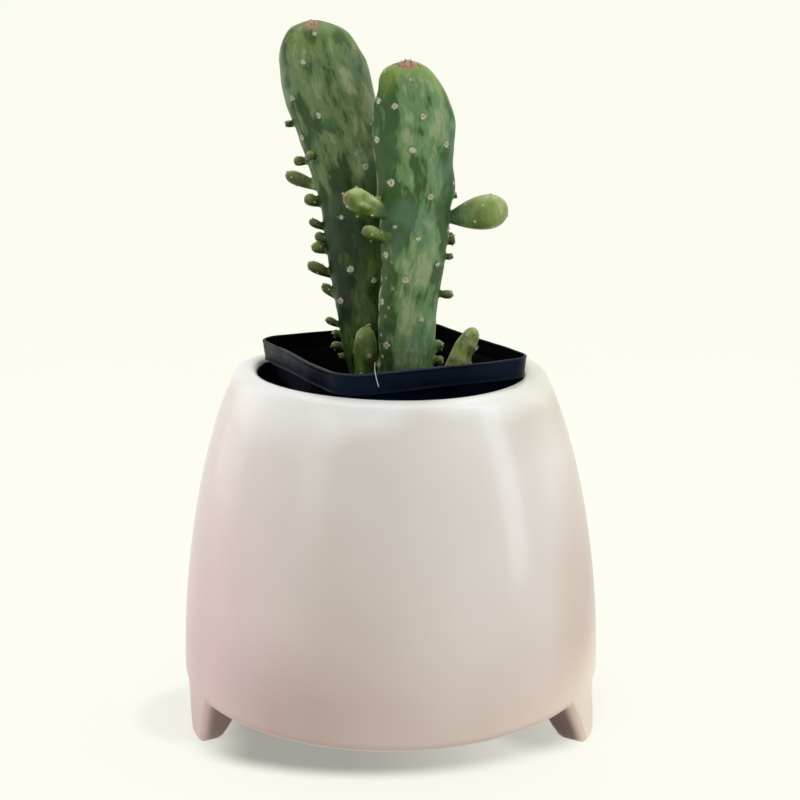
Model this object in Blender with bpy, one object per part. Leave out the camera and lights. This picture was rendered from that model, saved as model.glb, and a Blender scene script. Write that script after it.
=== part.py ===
"""Potted drooping prickly pear.

Two tall flattened stems and two young ones stand in the soil of a thin square nursery pot. The
nursery pot hangs by its collar in a glazed planter on three legs. Units are metres, +Z is up, the
front is towards -Y, and the origin is on the floor under the planter's centre.
"""

import bmesh
import bpy
import numpy as np
from mathutils import Vector

MM = 0.001
GAP = 0.3 * MM
SEED = 11

# Planter: a turned shell with a rolled lip, on three legs
PLANTER_HEIGHT = 155 * MM
PLANTER_RADIUS = 92.3 * MM
PLANTER_UNDERSIDE = 22.7 * MM
WALL_CURVE_HEIGHT = 165.8 * MM
WALL_CURVE_POWER = 1.76
WALL_CURVE_ROOT = 0.308
LIP_RADIUS = 60.9 * MM
LIP_INNER_RADIUS = 57.1 * MM
LIP_DROP = 3.5 * MM
LIP_OUTER_DROP = 5.0 * MM
WALL_THICKNESS = 6.3 * MM
FLOOR_THICKNESS = 7.0 * MM
LOWER_EDGE_ROUND = 2.2 * MM
UNDERSIDE_RING_RADIUS = 51 * MM
WALL_LOWEST_RING = 38 * MM
WALL_RINGS = 11
INNER_WALL_TOP = 142 * MM
INNER_WALL_RINGS = 7
INNER_FOOT_HEIGHT = 8 * MM
INNER_FOOT_REACH = 9 * MM
PLANTER_SIDES = 48

LEG_ANGLES = {"right": -25, "left": -155, "back": 90}
LEG_OUTER_RADIUS = 91.7 * MM
LEG_TOP_DEPTH = 19.5 * MM
LEG_FOOT_DEPTH = 7.7 * MM
LEG_TOP_HALF_ANGLE = 8.2
LEG_FOOT_HALF_ANGLE = 4.3
LEG_FOOT_ROUND = 2.0 * MM
LEG_ROOT = 3.6 * MM
LEG_CORNER_POWER = 3.0
LEG_DEPTH_CURVE = 1.15
LEG_WIDTH_CURVE = 1.4
LEG_LOWEST_PLAIN_RING = 7 * MM
LEG_PLAIN_RINGS = 5
LEG_SIDES = 20

# Nursery pot: rounded square, turned about the vertical, with a stepped collar
POT_TURN = np.radians(27.7)
COLLAR_SIDE = 89 * MM
COLLAR_CORNER = 10 * MM
COLLAR_TOP = 163.4 * MM
COLLAR_BOTTOM = 154.75 * MM
COLLAR_STEP = 1.8 * MM
POT_WALL = 1.0 * MM
POT_FOOT = 78 * MM
POT_FOOT_SIDE = 65 * MM
POT_FOOT_CHAMFER = 2 * MM
DRAIN_RADIUS = 4 * MM
DRAIN_OFFSET = 20 * MM
DRAIN_SIDES = 12
POT_CORNER_POINTS = 6

# Soil
SOIL_TOP = 135.5 * MM
SOIL_RELIEF = 0.9 * MM
SOIL_WAVE = 37 * MM
SOIL_EDGE_DIP = 0.5 * MM
SOIL_RING_SHARES = (1.0, 0.8, 0.58, 0.34, 0.14)
HOLE_CLEAR_HEIGHT = 16 * MM

# Stems: rows of height, sideways place and half width, from the tip down, in millimetres
STEM_LEFT_ROWS = [
    (301.0, -31.6, 0), (296.0, -30.2, 11.6), (289.6, -29.2, 15.7), (283.1, -27.7, 17.9),
    (273.4, -26.2, 18.9), (263.6, -23.6, 18.6), (250.4, -20.3, 17.5), (237.0, -17.2, 16.1),
    (223.5, -15.2, 14.5), (209.9, -14.2, 13.9), (196.1, -13.0, 13.1), (182.1, -11.5, 12.1),
    (167.6, -10.1, 11.5), (151.0, -7.7, 10.1), (135.0, -6.3, 9.8), (126.0, -6.0, 8.6), (120.0, -6.0, 5.5),
]
STEM_RIGHT_ROWS = [
    (285.0, 7.2, 0), (280.2, 7.2, 9.7), (270.7, 8.9, 13.6), (257.9, 10.4, 16.8), (244.9, 10.2, 15.8),
    (231.8, 10.6, 15.4), (221.5, 10.3, 14.3), (208.6, 9.7, 13.4), (195.1, 8.7, 12.8),
    (178.0, 7.1, 12.1), (156.7, 6.5, 12.0), (135.0, 6.5, 11.4), (126.0, 6.5, 9.8), (120.0, 6.5, 6.0),
]
PUP_FRONT_ROWS = [
    (174.0, -10.6, 0), (170.5, -10.6, 3.9), (163.0, -10.6, 4.9), (152.0, -10.2, 4.8),
    (135.0, -9.6, 4.4), (127.0, -9.4, 3.6), (123.0, -9.4, 2.2),
]
PUP_RIGHT_ROWS = [
    (173.4, 35.0, 0), (170.8, 34.2, 3.4), (165.0, 31.6, 4.7), (158.0, 28.8, 4.8),
    (149.0, 26.2, 4.6), (135.0, 24.2, 4.2), (127.0, 23.6, 3.6), (123.0, 23.6, 2.2),
]
# Places of a stem: depth behind the origin, turn of its flat side, thickness to width at tip and base
STEMS = {
    "stem_left": (STEM_LEFT_ROWS, 9.6 * MM, np.radians(9), 0.53, 0.72),
    "stem_right": (STEM_RIGHT_ROWS, -7.2 * MM, np.radians(14), 0.55, 0.66),
    "pup_front": (PUP_FRONT_ROWS, -4.2 * MM, np.radians(6), 0.66, 0.75),
    "pup_right": (PUP_RIGHT_ROWS, -3.0 * MM, np.radians(-10), 0.92, 0.95),
}
SECTION_POWER = 2.25
SWELLING = 0.7 * MM
SWELLING_REACH = 4.2 * MM
STEM_SIDES = 26
PUP_SIDES = 14
STEM_TIP_DROPS = np.array([0.6, 2.0, 4.4, 7.8, 12.0, 17.0]) * MM
PUP_TIP_DROPS = np.array([0.3, 1.0, 2.2, 3.9]) * MM
STEM_RING_SPACING = 6.4 * MM

# Areoles on the front: height in millimetres and place across, from -1 at the left edge to 1
AREOLES_FRONT = {
    "stem_left": [
        (294, -0.07), (283, -0.42), (269, -0.77), (262, -0.34), (253, -0.84), (245, -0.68), (258, 0.76),
        (241, 0.45), (220, -0.39), (198, -0.27), (184, -0.74), (193, 0.41), (173, 0.1), (162, -0.5),
    ],
    "stem_right": [
        (268, -0.9), (266, -0.5), (262, 0.18), (272, 0.57), (253, -0.9), (249, -0.08), (251, 0.73),
        (236, -0.63), (230, 0.36), (235, 0.95), (218, -0.59), (229, -0.93), (213, 0.08), (216, 0.95),
        (206, -0.88), (202, 0.73), (196, -0.25), (186, -0.93), (179, 0.42), (168, -0.73), (159, -0.95),
    ],
    "pup_front": [(170, -0.4), (162, 0.3), (154, -0.4)],
    "pup_right": [(170, -0.2), (165, 0.8), (161, -0.5), (154, 0.4)],
}
AREOLE_RADIUS = 1.2 * MM
AREOLE_HEIGHT = 0.8 * MM
AREOLE_ROOT = 0.9 * MM
AREOLE_SIDES = 6
BACK_ROW_SPACING = 17 * MM
BACK_AREOLES_ACROSS = (-0.72, 0.0, 0.72)
BACK_LOWEST = 150 * MM

# Edge shoots in millimetres: height of the root, then the tip's sideways place and height, thickness
SHOOTS_LEFT_EDGE = [
    (257.6, -44.1, 258.2, 3.0), (242.4, -40.9, 242.6, 4.2), (232.0, -44.5, 237.0, 5.9),
    (224.6, -36.4, 227.4, 5.2), (214.3, -34.6, 217.7, 3.8), (209.0, -32.2, 211.4, 4.2),
    (204.4, -33.7, 206.9, 4.8), (194.1, -35.5, 199.3, 5.1), (184.8, -29.7, 189.4, 4.2),
    (171.8, -28.3, 174.7, 3.5), (167.4, -25.4, 168.9, 3.4), (162.2, -26.0, 163.1, 3.8),
    (157.2, -22.8, 158.2, 3.4),
]
SHOOTS_RIGHT_EDGE = [
    (229.4, 27.5, 230.2, 3.3), (220.2, 49.0, 224.2, 14.6), (211.1, 27.0, 211.9, 5.6),
    (204.0, 26.3, 204.4, 2.9), (188.3, 26.5, 188.3, 3.8), (163.0, 22.6, 166.0, 4.2),
]
# Shoots on the front: height and place across of the root, then the tip's place, and the thickness
SHOOTS_FRONT = {
    "stem_left": [(245.0, -0.7, (-34.2, -3.4, 246.0), 4.2)],
    "stem_right": [
        (223.5, -0.86, (-18.6, -20.0, 230.0), 9.8),
        (211.0, -0.84, (-10.9, -20.0, 217.2), 6.9),
    ],
    "pup_front": [],
    "pup_right": [],
}
SHOOT_SIDES = 8
SHOOT_ROOT = 2.6 * MM
SHOOT_PEAK = 0.66
SHOOT_RING_SHARES = (0.12, 0.38, SHOOT_PEAK, 0.84, 0.95)
SHOOT_NECK = 0.62
WIDE_SHOOT_NECK = 0.3
WIDE_SHOOT = 10 * MM
SHOOT_SWING = 0.35

COLOURS = {
    "planter": ((0.72, 0.62, 0.57), 0.25),
    "nursery_pot": ((0.006, 0.007, 0.012), 0.35),
    "soil": ((0.03, 0.02, 0.014), 0.95),
    "stem_left": ((0.06, 0.12, 0.05), 0.5),
    "stem_right": ((0.07, 0.15, 0.06), 0.5),
    "pup_front": ((0.13, 0.16, 0.05), 0.5),
    "pup_right": ((0.15, 0.20, 0.07), 0.5),
}


def clear_scene():
    for item in list(bpy.data.objects):
        bpy.data.objects.remove(item)


def make_material(name):
    colour, roughness = COLOURS[name]
    material = bpy.data.materials.new(name)
    material.use_nodes = True
    shader = material.node_tree.nodes["Principled BSDF"]
    shader.inputs["Base Color"].default_value = (*colour, 1)
    shader.inputs["Roughness"].default_value = roughness
    shader.inputs["Metallic"].default_value = 0.0
    return material


def loft(name, rings, first_pole=None, last_pole=None):
    """Closed solid through rings of points, capped flat or drawn to a pole at either end."""
    bm = bmesh.new()
    loops = [[bm.verts.new(Vector(point)) for point in ring] for ring in rings]
    for lower, upper in zip(loops, loops[1:]):
        for i in range(len(lower)):
            j = (i + 1) % len(lower)
            bm.faces.new((lower[i], lower[j], upper[j], upper[i]))
    for loop, pole in ((loops[0], first_pole), (loops[-1], last_pole)):
        if pole is None:
            bm.faces.new(loop)
        else:
            centre = bm.verts.new(Vector(pole))
            for i in range(len(loop)):
                bm.faces.new((loop[i], loop[(i + 1) % len(loop)], centre))
    bmesh.ops.recalc_face_normals(bm, faces=bm.faces)
    mesh = bpy.data.meshes.new(name)
    bm.to_mesh(mesh)
    bm.free()
    item = bpy.data.objects.new(name, mesh)
    bpy.context.scene.collection.objects.link(item)
    return item


def combine(base, others, operation):
    """Joins others to base, or cuts them from it, and removes them."""
    group = bpy.data.collections.new(base.name + "_operands")
    for other in others:
        group.objects.link(other)
    boolean = base.modifiers.new("Combine", "BOOLEAN")
    boolean.operation = operation
    boolean.solver = "EXACT"
    boolean.operand_type = "COLLECTION"
    boolean.collection = group
    bpy.context.view_layer.update()
    result = base.evaluated_get(bpy.context.evaluated_depsgraph_get())
    mesh = bpy.data.meshes.new_from_object(result)
    base.modifiers.clear()
    base.data = mesh
    for other in others:
        bpy.data.objects.remove(other)
    bpy.data.collections.remove(group)


def finish(item, crease_angle):
    item.data.materials.clear()
    item.data.materials.append(make_material(item.name))
    item.data.shade_smooth()
    item.data.set_sharp_from_angle(angle=np.radians(crease_angle))


def ring_points(radii, heights, angles):
    return np.stack(np.broadcast_arrays(radii * np.cos(angles), radii * np.sin(angles), heights), -1)


def wall_radius(height):
    """Outer radius of the planter's wall at a height."""
    rise = np.clip((height - PLANTER_UNDERSIDE) / WALL_CURVE_HEIGHT, 0, 1)
    return PLANTER_RADIUS * (1 - rise ** WALL_CURVE_POWER) ** WALL_CURVE_ROOT


def planter_profile():
    """Radius and height of the planter's section, from the underside round the lip to the inner floor."""
    edge_centre = PLANTER_RADIUS - LOWER_EDGE_ROUND
    points = [(UNDERSIDE_RING_RADIUS, PLANTER_UNDERSIDE)]
    for turn in np.radians([-90, -45, 0]):
        height = PLANTER_UNDERSIDE + LOWER_EDGE_ROUND * (1 + np.sin(turn))
        points.append((edge_centre + LOWER_EDGE_ROUND * np.cos(turn), height))
    shoulder = PLANTER_HEIGHT - LIP_OUTER_DROP
    for height in np.linspace(WALL_LOWEST_RING, shoulder, WALL_RINGS):
        points.append((wall_radius(height), height))
    lip_reach = wall_radius(shoulder) - LIP_RADIUS
    for turn in np.radians([30, 60, 90]):
        points.append((LIP_RADIUS + lip_reach * np.cos(turn), shoulder + LIP_OUTER_DROP * np.sin(turn)))
    inner_reach = LIP_RADIUS - LIP_INNER_RADIUS
    for turn in np.radians([125, 155, 180]):
        height = PLANTER_HEIGHT - LIP_DROP * (1 - np.sin(turn))
        points.append((LIP_RADIUS + inner_reach * np.cos(turn), height))
    floor = PLANTER_UNDERSIDE + FLOOR_THICKNESS
    for height in np.linspace(INNER_WALL_TOP, floor + INNER_FOOT_HEIGHT, INNER_WALL_RINGS):
        points.append((wall_radius(height) - WALL_THICKNESS, height))
    inner_foot = wall_radius(floor) - WALL_THICKNESS - INNER_FOOT_REACH
    for turn in np.radians([-30, -60, -90]):
        height = floor + INNER_FOOT_HEIGHT * (1 + np.sin(turn))
        points.append((inner_foot + INNER_FOOT_REACH * np.cos(turn), height))
    return points


def leg_ring(angle, height, inset):
    """Section of a leg: a rounded block bent to the planter's radius."""
    rise = min(height / PLANTER_UNDERSIDE, 1.0)
    outer = LEG_OUTER_RADIUS - max(height - PLANTER_UNDERSIDE, 0) - inset
    depth = LEG_FOOT_DEPTH + (LEG_TOP_DEPTH - LEG_FOOT_DEPTH) * rise ** LEG_DEPTH_CURVE
    inner = LEG_OUTER_RADIUS - depth + inset
    half_angle = LEG_FOOT_HALF_ANGLE + (LEG_TOP_HALF_ANGLE - LEG_FOOT_HALF_ANGLE) * rise ** LEG_WIDTH_CURVE
    half_angle = np.radians(half_angle) - inset / LEG_OUTER_RADIUS
    turn = np.linspace(0, 2 * np.pi, LEG_SIDES, endpoint=False)
    across = np.sign(np.sin(turn)) * np.abs(np.sin(turn)) ** (2 / LEG_CORNER_POWER)
    along = np.sign(np.cos(turn)) * np.abs(np.cos(turn)) ** (2 / LEG_CORNER_POWER)
    radii = (outer + inner) / 2 + (outer - inner) / 2 * along
    return ring_points(radii, height, np.radians(angle) + half_angle * across)


def make_leg(side):
    levels = []
    for turn in np.radians([0, 45, 90]):
        levels.append((LEG_FOOT_ROUND * (1 - np.cos(turn)), LEG_FOOT_ROUND * (1 - np.sin(turn))))
    top = PLANTER_UNDERSIDE + LEG_ROOT
    for height in np.linspace(LEG_LOWEST_PLAIN_RING, top, LEG_PLAIN_RINGS):
        levels.append((height, 0.0))
    return loft("leg_" + side, [leg_ring(LEG_ANGLES[side], height, inset) for height, inset in levels])


def make_planter():
    angles = np.linspace(0, 2 * np.pi, PLANTER_SIDES, endpoint=False)
    rings = [ring_points(radius, height, angles) for radius, height in planter_profile()]
    planter = loft(
        "planter", rings, (0, 0, PLANTER_UNDERSIDE), (0, 0, PLANTER_UNDERSIDE + FLOOR_THICKNESS)
    )
    combine(planter, [make_leg(side) for side in LEG_ANGLES], "UNION")
    finish(planter, 40)


def rounded_square(side, corner, height):
    """Ring of a rounded square, turned as the nursery pot is."""
    points = []
    for quarter in range(4):
        start = quarter * np.pi / 2
        centre = (side / 2 - corner) * np.sqrt(2)
        middle = start + np.pi / 4
        for turn in np.linspace(start, start + np.pi / 2, POT_CORNER_POINTS):
            x = centre * np.cos(middle) + corner * np.cos(turn)
            y = centre * np.sin(middle) + corner * np.sin(turn)
            points.append((x, y))
    x, y = np.array(points).T
    cos, sin = np.cos(POT_TURN), np.sin(POT_TURN)
    return np.stack([x * cos - y * sin, x * sin + y * cos, np.full_like(x, height)], -1)


def pot_inner_side(height):
    """Inner side length of the nursery pot's body at a height."""
    foot = POT_FOOT + POT_FOOT_CHAMFER
    rise = (height - POT_WALL - foot) / (COLLAR_BOTTOM - foot)
    body_side = COLLAR_SIDE - 2 * COLLAR_STEP
    return POT_FOOT_SIDE + (body_side - POT_FOOT_SIDE) * rise - 2 * POT_WALL


def pot_floor_rings(gap):
    """The two lowest rings inside the nursery pot, or of what stands in it with a gap."""
    corner = COLLAR_CORNER - COLLAR_STEP - POT_WALL - gap
    floor = POT_FOOT + POT_WALL + gap
    side = pot_inner_side(floor + POT_FOOT_CHAMFER) - 2 * gap
    return [
        rounded_square(side - 2 * POT_FOOT_CHAMFER, corner - POT_FOOT_CHAMFER, floor),
        rounded_square(side, corner, floor + POT_FOOT_CHAMFER),
    ]


def make_drain(x, y):
    angles = np.linspace(0, 2 * np.pi, DRAIN_SIDES, endpoint=False)
    rings = []
    for height in (POT_FOOT - POT_WALL, POT_FOOT + 2 * POT_WALL):
        rings.append(ring_points(DRAIN_RADIUS, height, angles) + np.array([x, y, 0]))
    return loft("drain", rings)


def make_nursery_pot():
    body_side = COLLAR_SIDE - 2 * COLLAR_STEP
    body_corner = COLLAR_CORNER - COLLAR_STEP
    rings = [
        rounded_square(POT_FOOT_SIDE - 2 * POT_FOOT_CHAMFER, body_corner - POT_FOOT_CHAMFER, POT_FOOT),
        rounded_square(POT_FOOT_SIDE, body_corner, POT_FOOT + POT_FOOT_CHAMFER),
        rounded_square(body_side, body_corner, COLLAR_BOTTOM),
        rounded_square(COLLAR_SIDE, COLLAR_CORNER, COLLAR_BOTTOM),
        rounded_square(COLLAR_SIDE, COLLAR_CORNER, COLLAR_TOP),
        rounded_square(COLLAR_SIDE - 2 * POT_WALL, COLLAR_CORNER - POT_WALL, COLLAR_TOP),
        rounded_square(COLLAR_SIDE - 2 * POT_WALL, COLLAR_CORNER - POT_WALL, COLLAR_BOTTOM + POT_WALL),
        rounded_square(body_side - 2 * POT_WALL, body_corner - POT_WALL, COLLAR_BOTTOM + POT_WALL),
    ]
    rings += pot_floor_rings(0.0)[::-1]
    pot = loft("nursery_pot", rings)
    drains = [make_drain(0, 0)]
    for quarter in range(4):
        turn = POT_TURN + np.pi / 4 + quarter * np.pi / 2
        drains.append(make_drain(DRAIN_OFFSET * np.cos(turn), DRAIN_OFFSET * np.sin(turn)))
    combine(pot, drains, "DIFFERENCE")
    finish(pot, 35)


def soil_height(x, y):
    """Low uneven surface of the soil, a little higher towards the middle."""
    across = 2 * np.pi * x / SOIL_WAVE
    along = 2 * np.pi * y / SOIL_WAVE
    waves = np.sin(across + 1.3) * np.cos(0.9 * along - 0.4) + 0.5 * np.sin(1.8 * across - 1.4 * along)
    mound = 1 - (x * x + y * y) / (COLLAR_SIDE / 2) ** 2
    return SOIL_TOP + SOIL_RELIEF * (0.6 * waves + mound)


def make_soil():
    corner = COLLAR_CORNER - COLLAR_STEP - POT_WALL - GAP
    rings = pot_floor_rings(GAP)
    top_side = pot_inner_side(SOIL_TOP) - 2 * GAP
    for share in SOIL_RING_SHARES:
        ring = rounded_square(top_side * share, corner * share, 0.0)
        ring[:, 2] = soil_height(ring[:, 0], ring[:, 1]) - (share == 1.0) * SOIL_EDGE_DIP
        rings.append(ring)
    soil = loft("soil", rings, None, (0, 0, soil_height(0, 0)))
    combine(soil, [make_hole(name) for name in STEMS], "DIFFERENCE")
    finish(soil, 60)


def stem_rows(name):
    """Drops from the tip, sideways places and half widths of a stem, in metres."""
    heights, places, widths = np.array(STEMS[name][0]).T * MM
    return heights[0], heights[0] - heights, places, widths


def smooth(at, knots, values):
    """Smooth curve through values at knots, without overshoot."""
    steps = np.diff(knots)
    slopes = np.diff(values) / steps
    tangents = np.concatenate([[slopes[0]], np.zeros(len(slopes) - 1), [slopes[-1]]])
    same = slopes[:-1] * slopes[1:] > 0
    mean = 2 * slopes[:-1] * slopes[1:] / np.where(same, slopes[:-1] + slopes[1:], 1)
    tangents[1:-1] = np.where(same, mean, 0)
    i = np.clip(np.searchsorted(knots, at) - 1, 0, len(steps) - 1)
    t = np.clip((at - knots[i]) / steps[i], 0, 1)
    value = values[i] * (1 + 2 * t) * (1 - t) ** 2 + values[i + 1] * t * t * (3 - 2 * t)
    return value + steps[i] * t * (1 - t) * (tangents[i] * (1 - t) - tangents[i + 1] * t)


def bare_stem(name, heights, angles, grow=0.0):
    """Points of a stem's smooth surface, before its areoles swell it."""
    tip, drops, places, widths = stem_rows(name)
    depth, turn, tip_ratio, base_ratio = STEMS[name][1:]
    knots = np.sqrt(drops)
    at = np.sqrt(np.clip(tip - heights, 0, None))
    width = smooth(at, knots, widths) + grow
    ratio = tip_ratio + (base_ratio - tip_ratio) * at / knots[-1]
    thickness = (width - grow) * ratio + grow
    x = width * np.sign(np.cos(angles)) * np.abs(np.cos(angles)) ** (2 / SECTION_POWER)
    y = thickness * np.sign(np.sin(angles)) * np.abs(np.sin(angles)) ** (2 / SECTION_POWER)
    cos, sin = np.cos(turn), np.sin(turn)
    place = smooth(at, knots, places)
    return np.stack([place + x * cos - y * sin, depth + x * sin + y * cos, heights + 0 * x], -1)


def outward(name, height, angle):
    """Outward direction of a stem's smooth surface at a height and an angle round it."""
    step = 0.4 * MM
    around = bare_stem(name, height, angle + 0.02) - bare_stem(name, height, angle - 0.02)
    along = bare_stem(name, height + step, angle) - bare_stem(name, height - step, angle)
    normal = np.cross(around, along)
    return normal / np.linalg.norm(normal)


def angle_across(name, height, across, front):
    """Angle round a stem at which its front or back lies at a share of its half width."""
    angles = np.radians(np.arange(0, 360, 0.5))
    points = bare_stem(name, height, angles)
    x = points[:, 0]
    target = (x.max() + x.min()) / 2 + across * (x.max() - x.min()) / 2
    side = points[:, 1] - np.interp(x, [x.min(), x.max()], [points[x.argmin(), 1], points[x.argmax(), 1]])
    wrong_side = side > 0 if front else side < 0
    return angles[np.argmin(np.abs(x - target) + wrong_side)]


def stem_areoles(name):
    """Height and angle of every areole: the front ones by hand, the back ones by rule."""
    places = []
    for height, across in AREOLES_FRONT[name]:
        places.append((height * MM, angle_across(name, height * MM, across, True)))
    draw = np.random.default_rng(SEED + len(name))
    height = stem_rows(name)[0] - 0.75 * BACK_ROW_SPACING
    row = 0
    while height > BACK_LOWEST:
        across = BACK_AREOLES_ACROSS[row % 2::2] if name.startswith("stem") else (0.3 - 0.6 * (row % 2),)
        for place in across:
            level = height + draw.uniform(-0.12, 0.12) * BACK_ROW_SPACING
            share = place + draw.uniform(-0.06, 0.06)
            places.append((level, angle_across(name, level, share, False)))
        height -= BACK_ROW_SPACING
        row += 1
    return places


def stem_surface(name, heights, angles, areoles):
    """Points of a stem's surface, swollen a little round each areole."""
    points = bare_stem(name, heights, angles)
    swell = np.zeros(len(points))
    for height, angle in areoles:
        centre = bare_stem(name, height, angle)
        distance = np.linalg.norm(points - centre, axis=1)
        swell = np.maximum(swell, np.exp(-((distance / SWELLING_REACH) ** 2) / 2))
    normals = np.array([outward(name, height, angle) for height, angle in zip(heights, angles)])
    normals[:, 2] = 0
    return points + SWELLING * swell[:, None] * normals


def make_areole(name, height, angle):
    """Low six-sided dome standing square on the swollen surface."""
    normal = Vector(outward(name, height, angle))
    centre = Vector(bare_stem(name, height, angle)) + normal * SWELLING
    side = normal.cross(Vector((0, 0, 1))).normalized()
    up = side.cross(normal)
    rings = []
    for lift, share in ((-AREOLE_ROOT, 1.05), (0.3 * AREOLE_HEIGHT, 1.0), (0.85 * AREOLE_HEIGHT, 0.55)):
        ring = []
        for turn in np.linspace(0, 2 * np.pi, AREOLE_SIDES, endpoint=False):
            around = side * np.cos(turn) + up * np.sin(turn)
            ring.append(centre + normal * lift + around * AREOLE_RADIUS * share)
        rings.append(ring)
    return loft("areole", rings, None, centre + normal * AREOLE_HEIGHT)


def make_shoot(root, reach, thickness, neck):
    """Young shoot: a teardrop from a root point, sunk into the stem, to a round tip."""
    axis = reach.normalized()
    side = axis.cross(Vector((0, 0, 1))).normalized()
    up = side.cross(axis)
    rings = []
    for share in (-SHOOT_ROOT / reach.length, *SHOOT_RING_SHARES):
        if share < SHOOT_PEAK:
            swell = np.sin(np.pi / 2 * max(share, 0) / SHOOT_PEAK)
            radius = thickness / 2 * (neck + (1 - neck) * swell)
        else:
            radius = thickness / 2 * np.sqrt(1 - ((share - SHOOT_PEAK) / (1 - SHOOT_PEAK)) ** 2)
        ring = []
        for turn in np.linspace(0, 2 * np.pi, SHOOT_SIDES, endpoint=False):
            around = side * np.cos(turn) + up * np.sin(turn)
            ring.append(root + reach * float(share) + around * float(radius))
        rings.append(ring)
    return loft("shoot", rings, None, root + reach)


def stem_shoots(name):
    """Shoots on a stem's edges and front."""
    edges = {"stem_left": (SHOOTS_LEFT_EDGE, -1), "stem_right": (SHOOTS_RIGHT_EDGE, 1)}
    rows, side = edges.get(name, ([], 1))
    draw = np.random.default_rng(SEED)
    shoots = []
    for height, place, tip_height, thickness in rows:
        root = Vector(bare_stem(name, height * MM, angle_across(name, height * MM, side, True)))
        reach = Vector((place * MM - root.x, 0, tip_height * MM - root.z))
        reach.y = SHOOT_SWING * draw.uniform(-1, 1) * reach.length
        neck = WIDE_SHOOT_NECK if thickness * MM > WIDE_SHOOT else SHOOT_NECK
        shoots.append(make_shoot(root, reach, thickness * MM, neck))
    for height, across, tip, thickness in SHOOTS_FRONT[name]:
        root = Vector(bare_stem(name, height * MM, angle_across(name, height * MM, across, True)))
        shoots.append(make_shoot(root, Vector(tip) * MM - root, thickness * MM, SHOOT_NECK))
    return shoots


def stem_levels(name):
    """Heights of a stem's rings: close together at the round tip, even further down."""
    tip, drops = stem_rows(name)[:2]
    dome = STEM_TIP_DROPS if name.startswith("stem") else PUP_TIP_DROPS
    count = round((drops[-1] - dome[-1]) / STEM_RING_SPACING)
    return tip - np.concatenate([dome, np.linspace(dome[-1], drops[-1], count + 1)[1:]])


def make_stem(name):
    sides = STEM_SIDES if name.startswith("stem") else PUP_SIDES
    angles = np.linspace(0, 2 * np.pi, sides, endpoint=False)
    areoles = stem_areoles(name)
    rings = [stem_surface(name, np.full(sides, level), angles, areoles) for level in stem_levels(name)]
    tip, _, places, _ = stem_rows(name)
    stem = loft(name, rings, (places[0], STEMS[name][1], tip), None)
    grown = [make_areole(name, height, angle) for height, angle in areoles]
    combine(stem, grown + stem_shoots(name), "UNION")
    finish(stem, 50)


def make_hole(name):
    """Cutter for a stem's hole in the soil, a gap wider than its root."""
    sides = STEM_SIDES if name.startswith("stem") else PUP_SIDES
    angles = np.linspace(0, 2 * np.pi, sides, endpoint=False)
    levels = [level for level in stem_levels(name) if level < SOIL_TOP + HOLE_CLEAR_HEIGHT]
    rings = [bare_stem(name, np.full(sides, level), angles, GAP) for level in levels]
    rings[-1][:, 2] -= GAP
    return loft("hole_" + name, rings)


clear_scene()
make_planter()
make_nursery_pot()
make_soil()
for stem_name in STEMS:
    make_stem(stem_name)
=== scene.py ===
"""Potted drooping prickly pear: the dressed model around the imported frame.

Lengths are metres in the frame, and the tables say where they are in millimetres. The front is
towards -Y and +Z is up.
"""

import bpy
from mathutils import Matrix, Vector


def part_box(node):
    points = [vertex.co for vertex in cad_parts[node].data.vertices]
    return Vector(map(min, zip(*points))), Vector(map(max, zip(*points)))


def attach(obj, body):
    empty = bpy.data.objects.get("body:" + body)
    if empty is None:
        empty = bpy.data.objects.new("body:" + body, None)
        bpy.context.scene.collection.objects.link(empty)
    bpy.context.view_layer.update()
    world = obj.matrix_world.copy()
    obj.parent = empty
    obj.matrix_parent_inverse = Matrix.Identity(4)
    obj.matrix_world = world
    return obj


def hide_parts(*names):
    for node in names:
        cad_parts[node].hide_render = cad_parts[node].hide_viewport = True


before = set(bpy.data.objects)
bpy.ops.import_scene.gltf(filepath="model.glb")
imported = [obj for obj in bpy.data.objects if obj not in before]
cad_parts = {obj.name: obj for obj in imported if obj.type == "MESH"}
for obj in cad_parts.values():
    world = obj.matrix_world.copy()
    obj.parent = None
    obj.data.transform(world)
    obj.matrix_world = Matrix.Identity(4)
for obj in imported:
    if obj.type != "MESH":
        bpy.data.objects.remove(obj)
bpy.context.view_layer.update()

import bmesh
import bpy
import numpy as np
from bpy.props import FloatProperty, FloatVectorProperty, IntProperty, PointerProperty
from mathutils import Vector

bl_info = {
    "name": "Potted drooping prickly pear",
    "version": (1, 0, 0),
    "blender": (4, 5, 0),
    "location": "View3D > Sidebar > Prickly pear",
    "description": "Builds a potted drooping prickly pear piece by piece around its packed frame",
    "category": "Add Mesh",
}

MM = 0.001
SEED = 11

# Planter
PLANTER_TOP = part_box("planter")[1].z
PLANTER_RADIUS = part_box("planter")[1].x
PLANTER_UNDERSIDE = 21.1 * MM
WALL_CURVE_FOOT = 22.7 * MM
WALL_CURVE_HEIGHT = 165.8 * MM
WALL_CURVE_POWER = 1.76
WALL_CURVE_ROOT = 0.308
LIP_RADIUS = 60.9 * MM
LIP_INNER_RADIUS = 57.1 * MM
LIP_DROP = 3.5 * MM
LIP_RISE = 0.35 * MM, 1.55 * MM
LIP_OUTER_DROP = 5.0 * MM
FLOOR_THICKNESS = 7.0 * MM
LOWER_EDGE_ROUND = 2.7 * MM
INNER_FOOT_HEIGHT = 8 * MM
INNER_FOOT_REACH = 9 * MM
LATHE_FOOT = 31 * MM
# Lathe-turned profiles stop this far from the middle, and one face closes the rest
AXIS_GAP = 1.5 * MM
INNER_WALL_TOP = 142 * MM
SHOULDER_GAP = 1.2 * MM
# How far down inside the lip the near-black painted shade of the inside starts
INNER_SHADE_DEPTH = 3.2 * MM
PROFILE_SPACING = 0.25 * MM
PROFILE_SOFTNESS = 0.9 * MM
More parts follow.
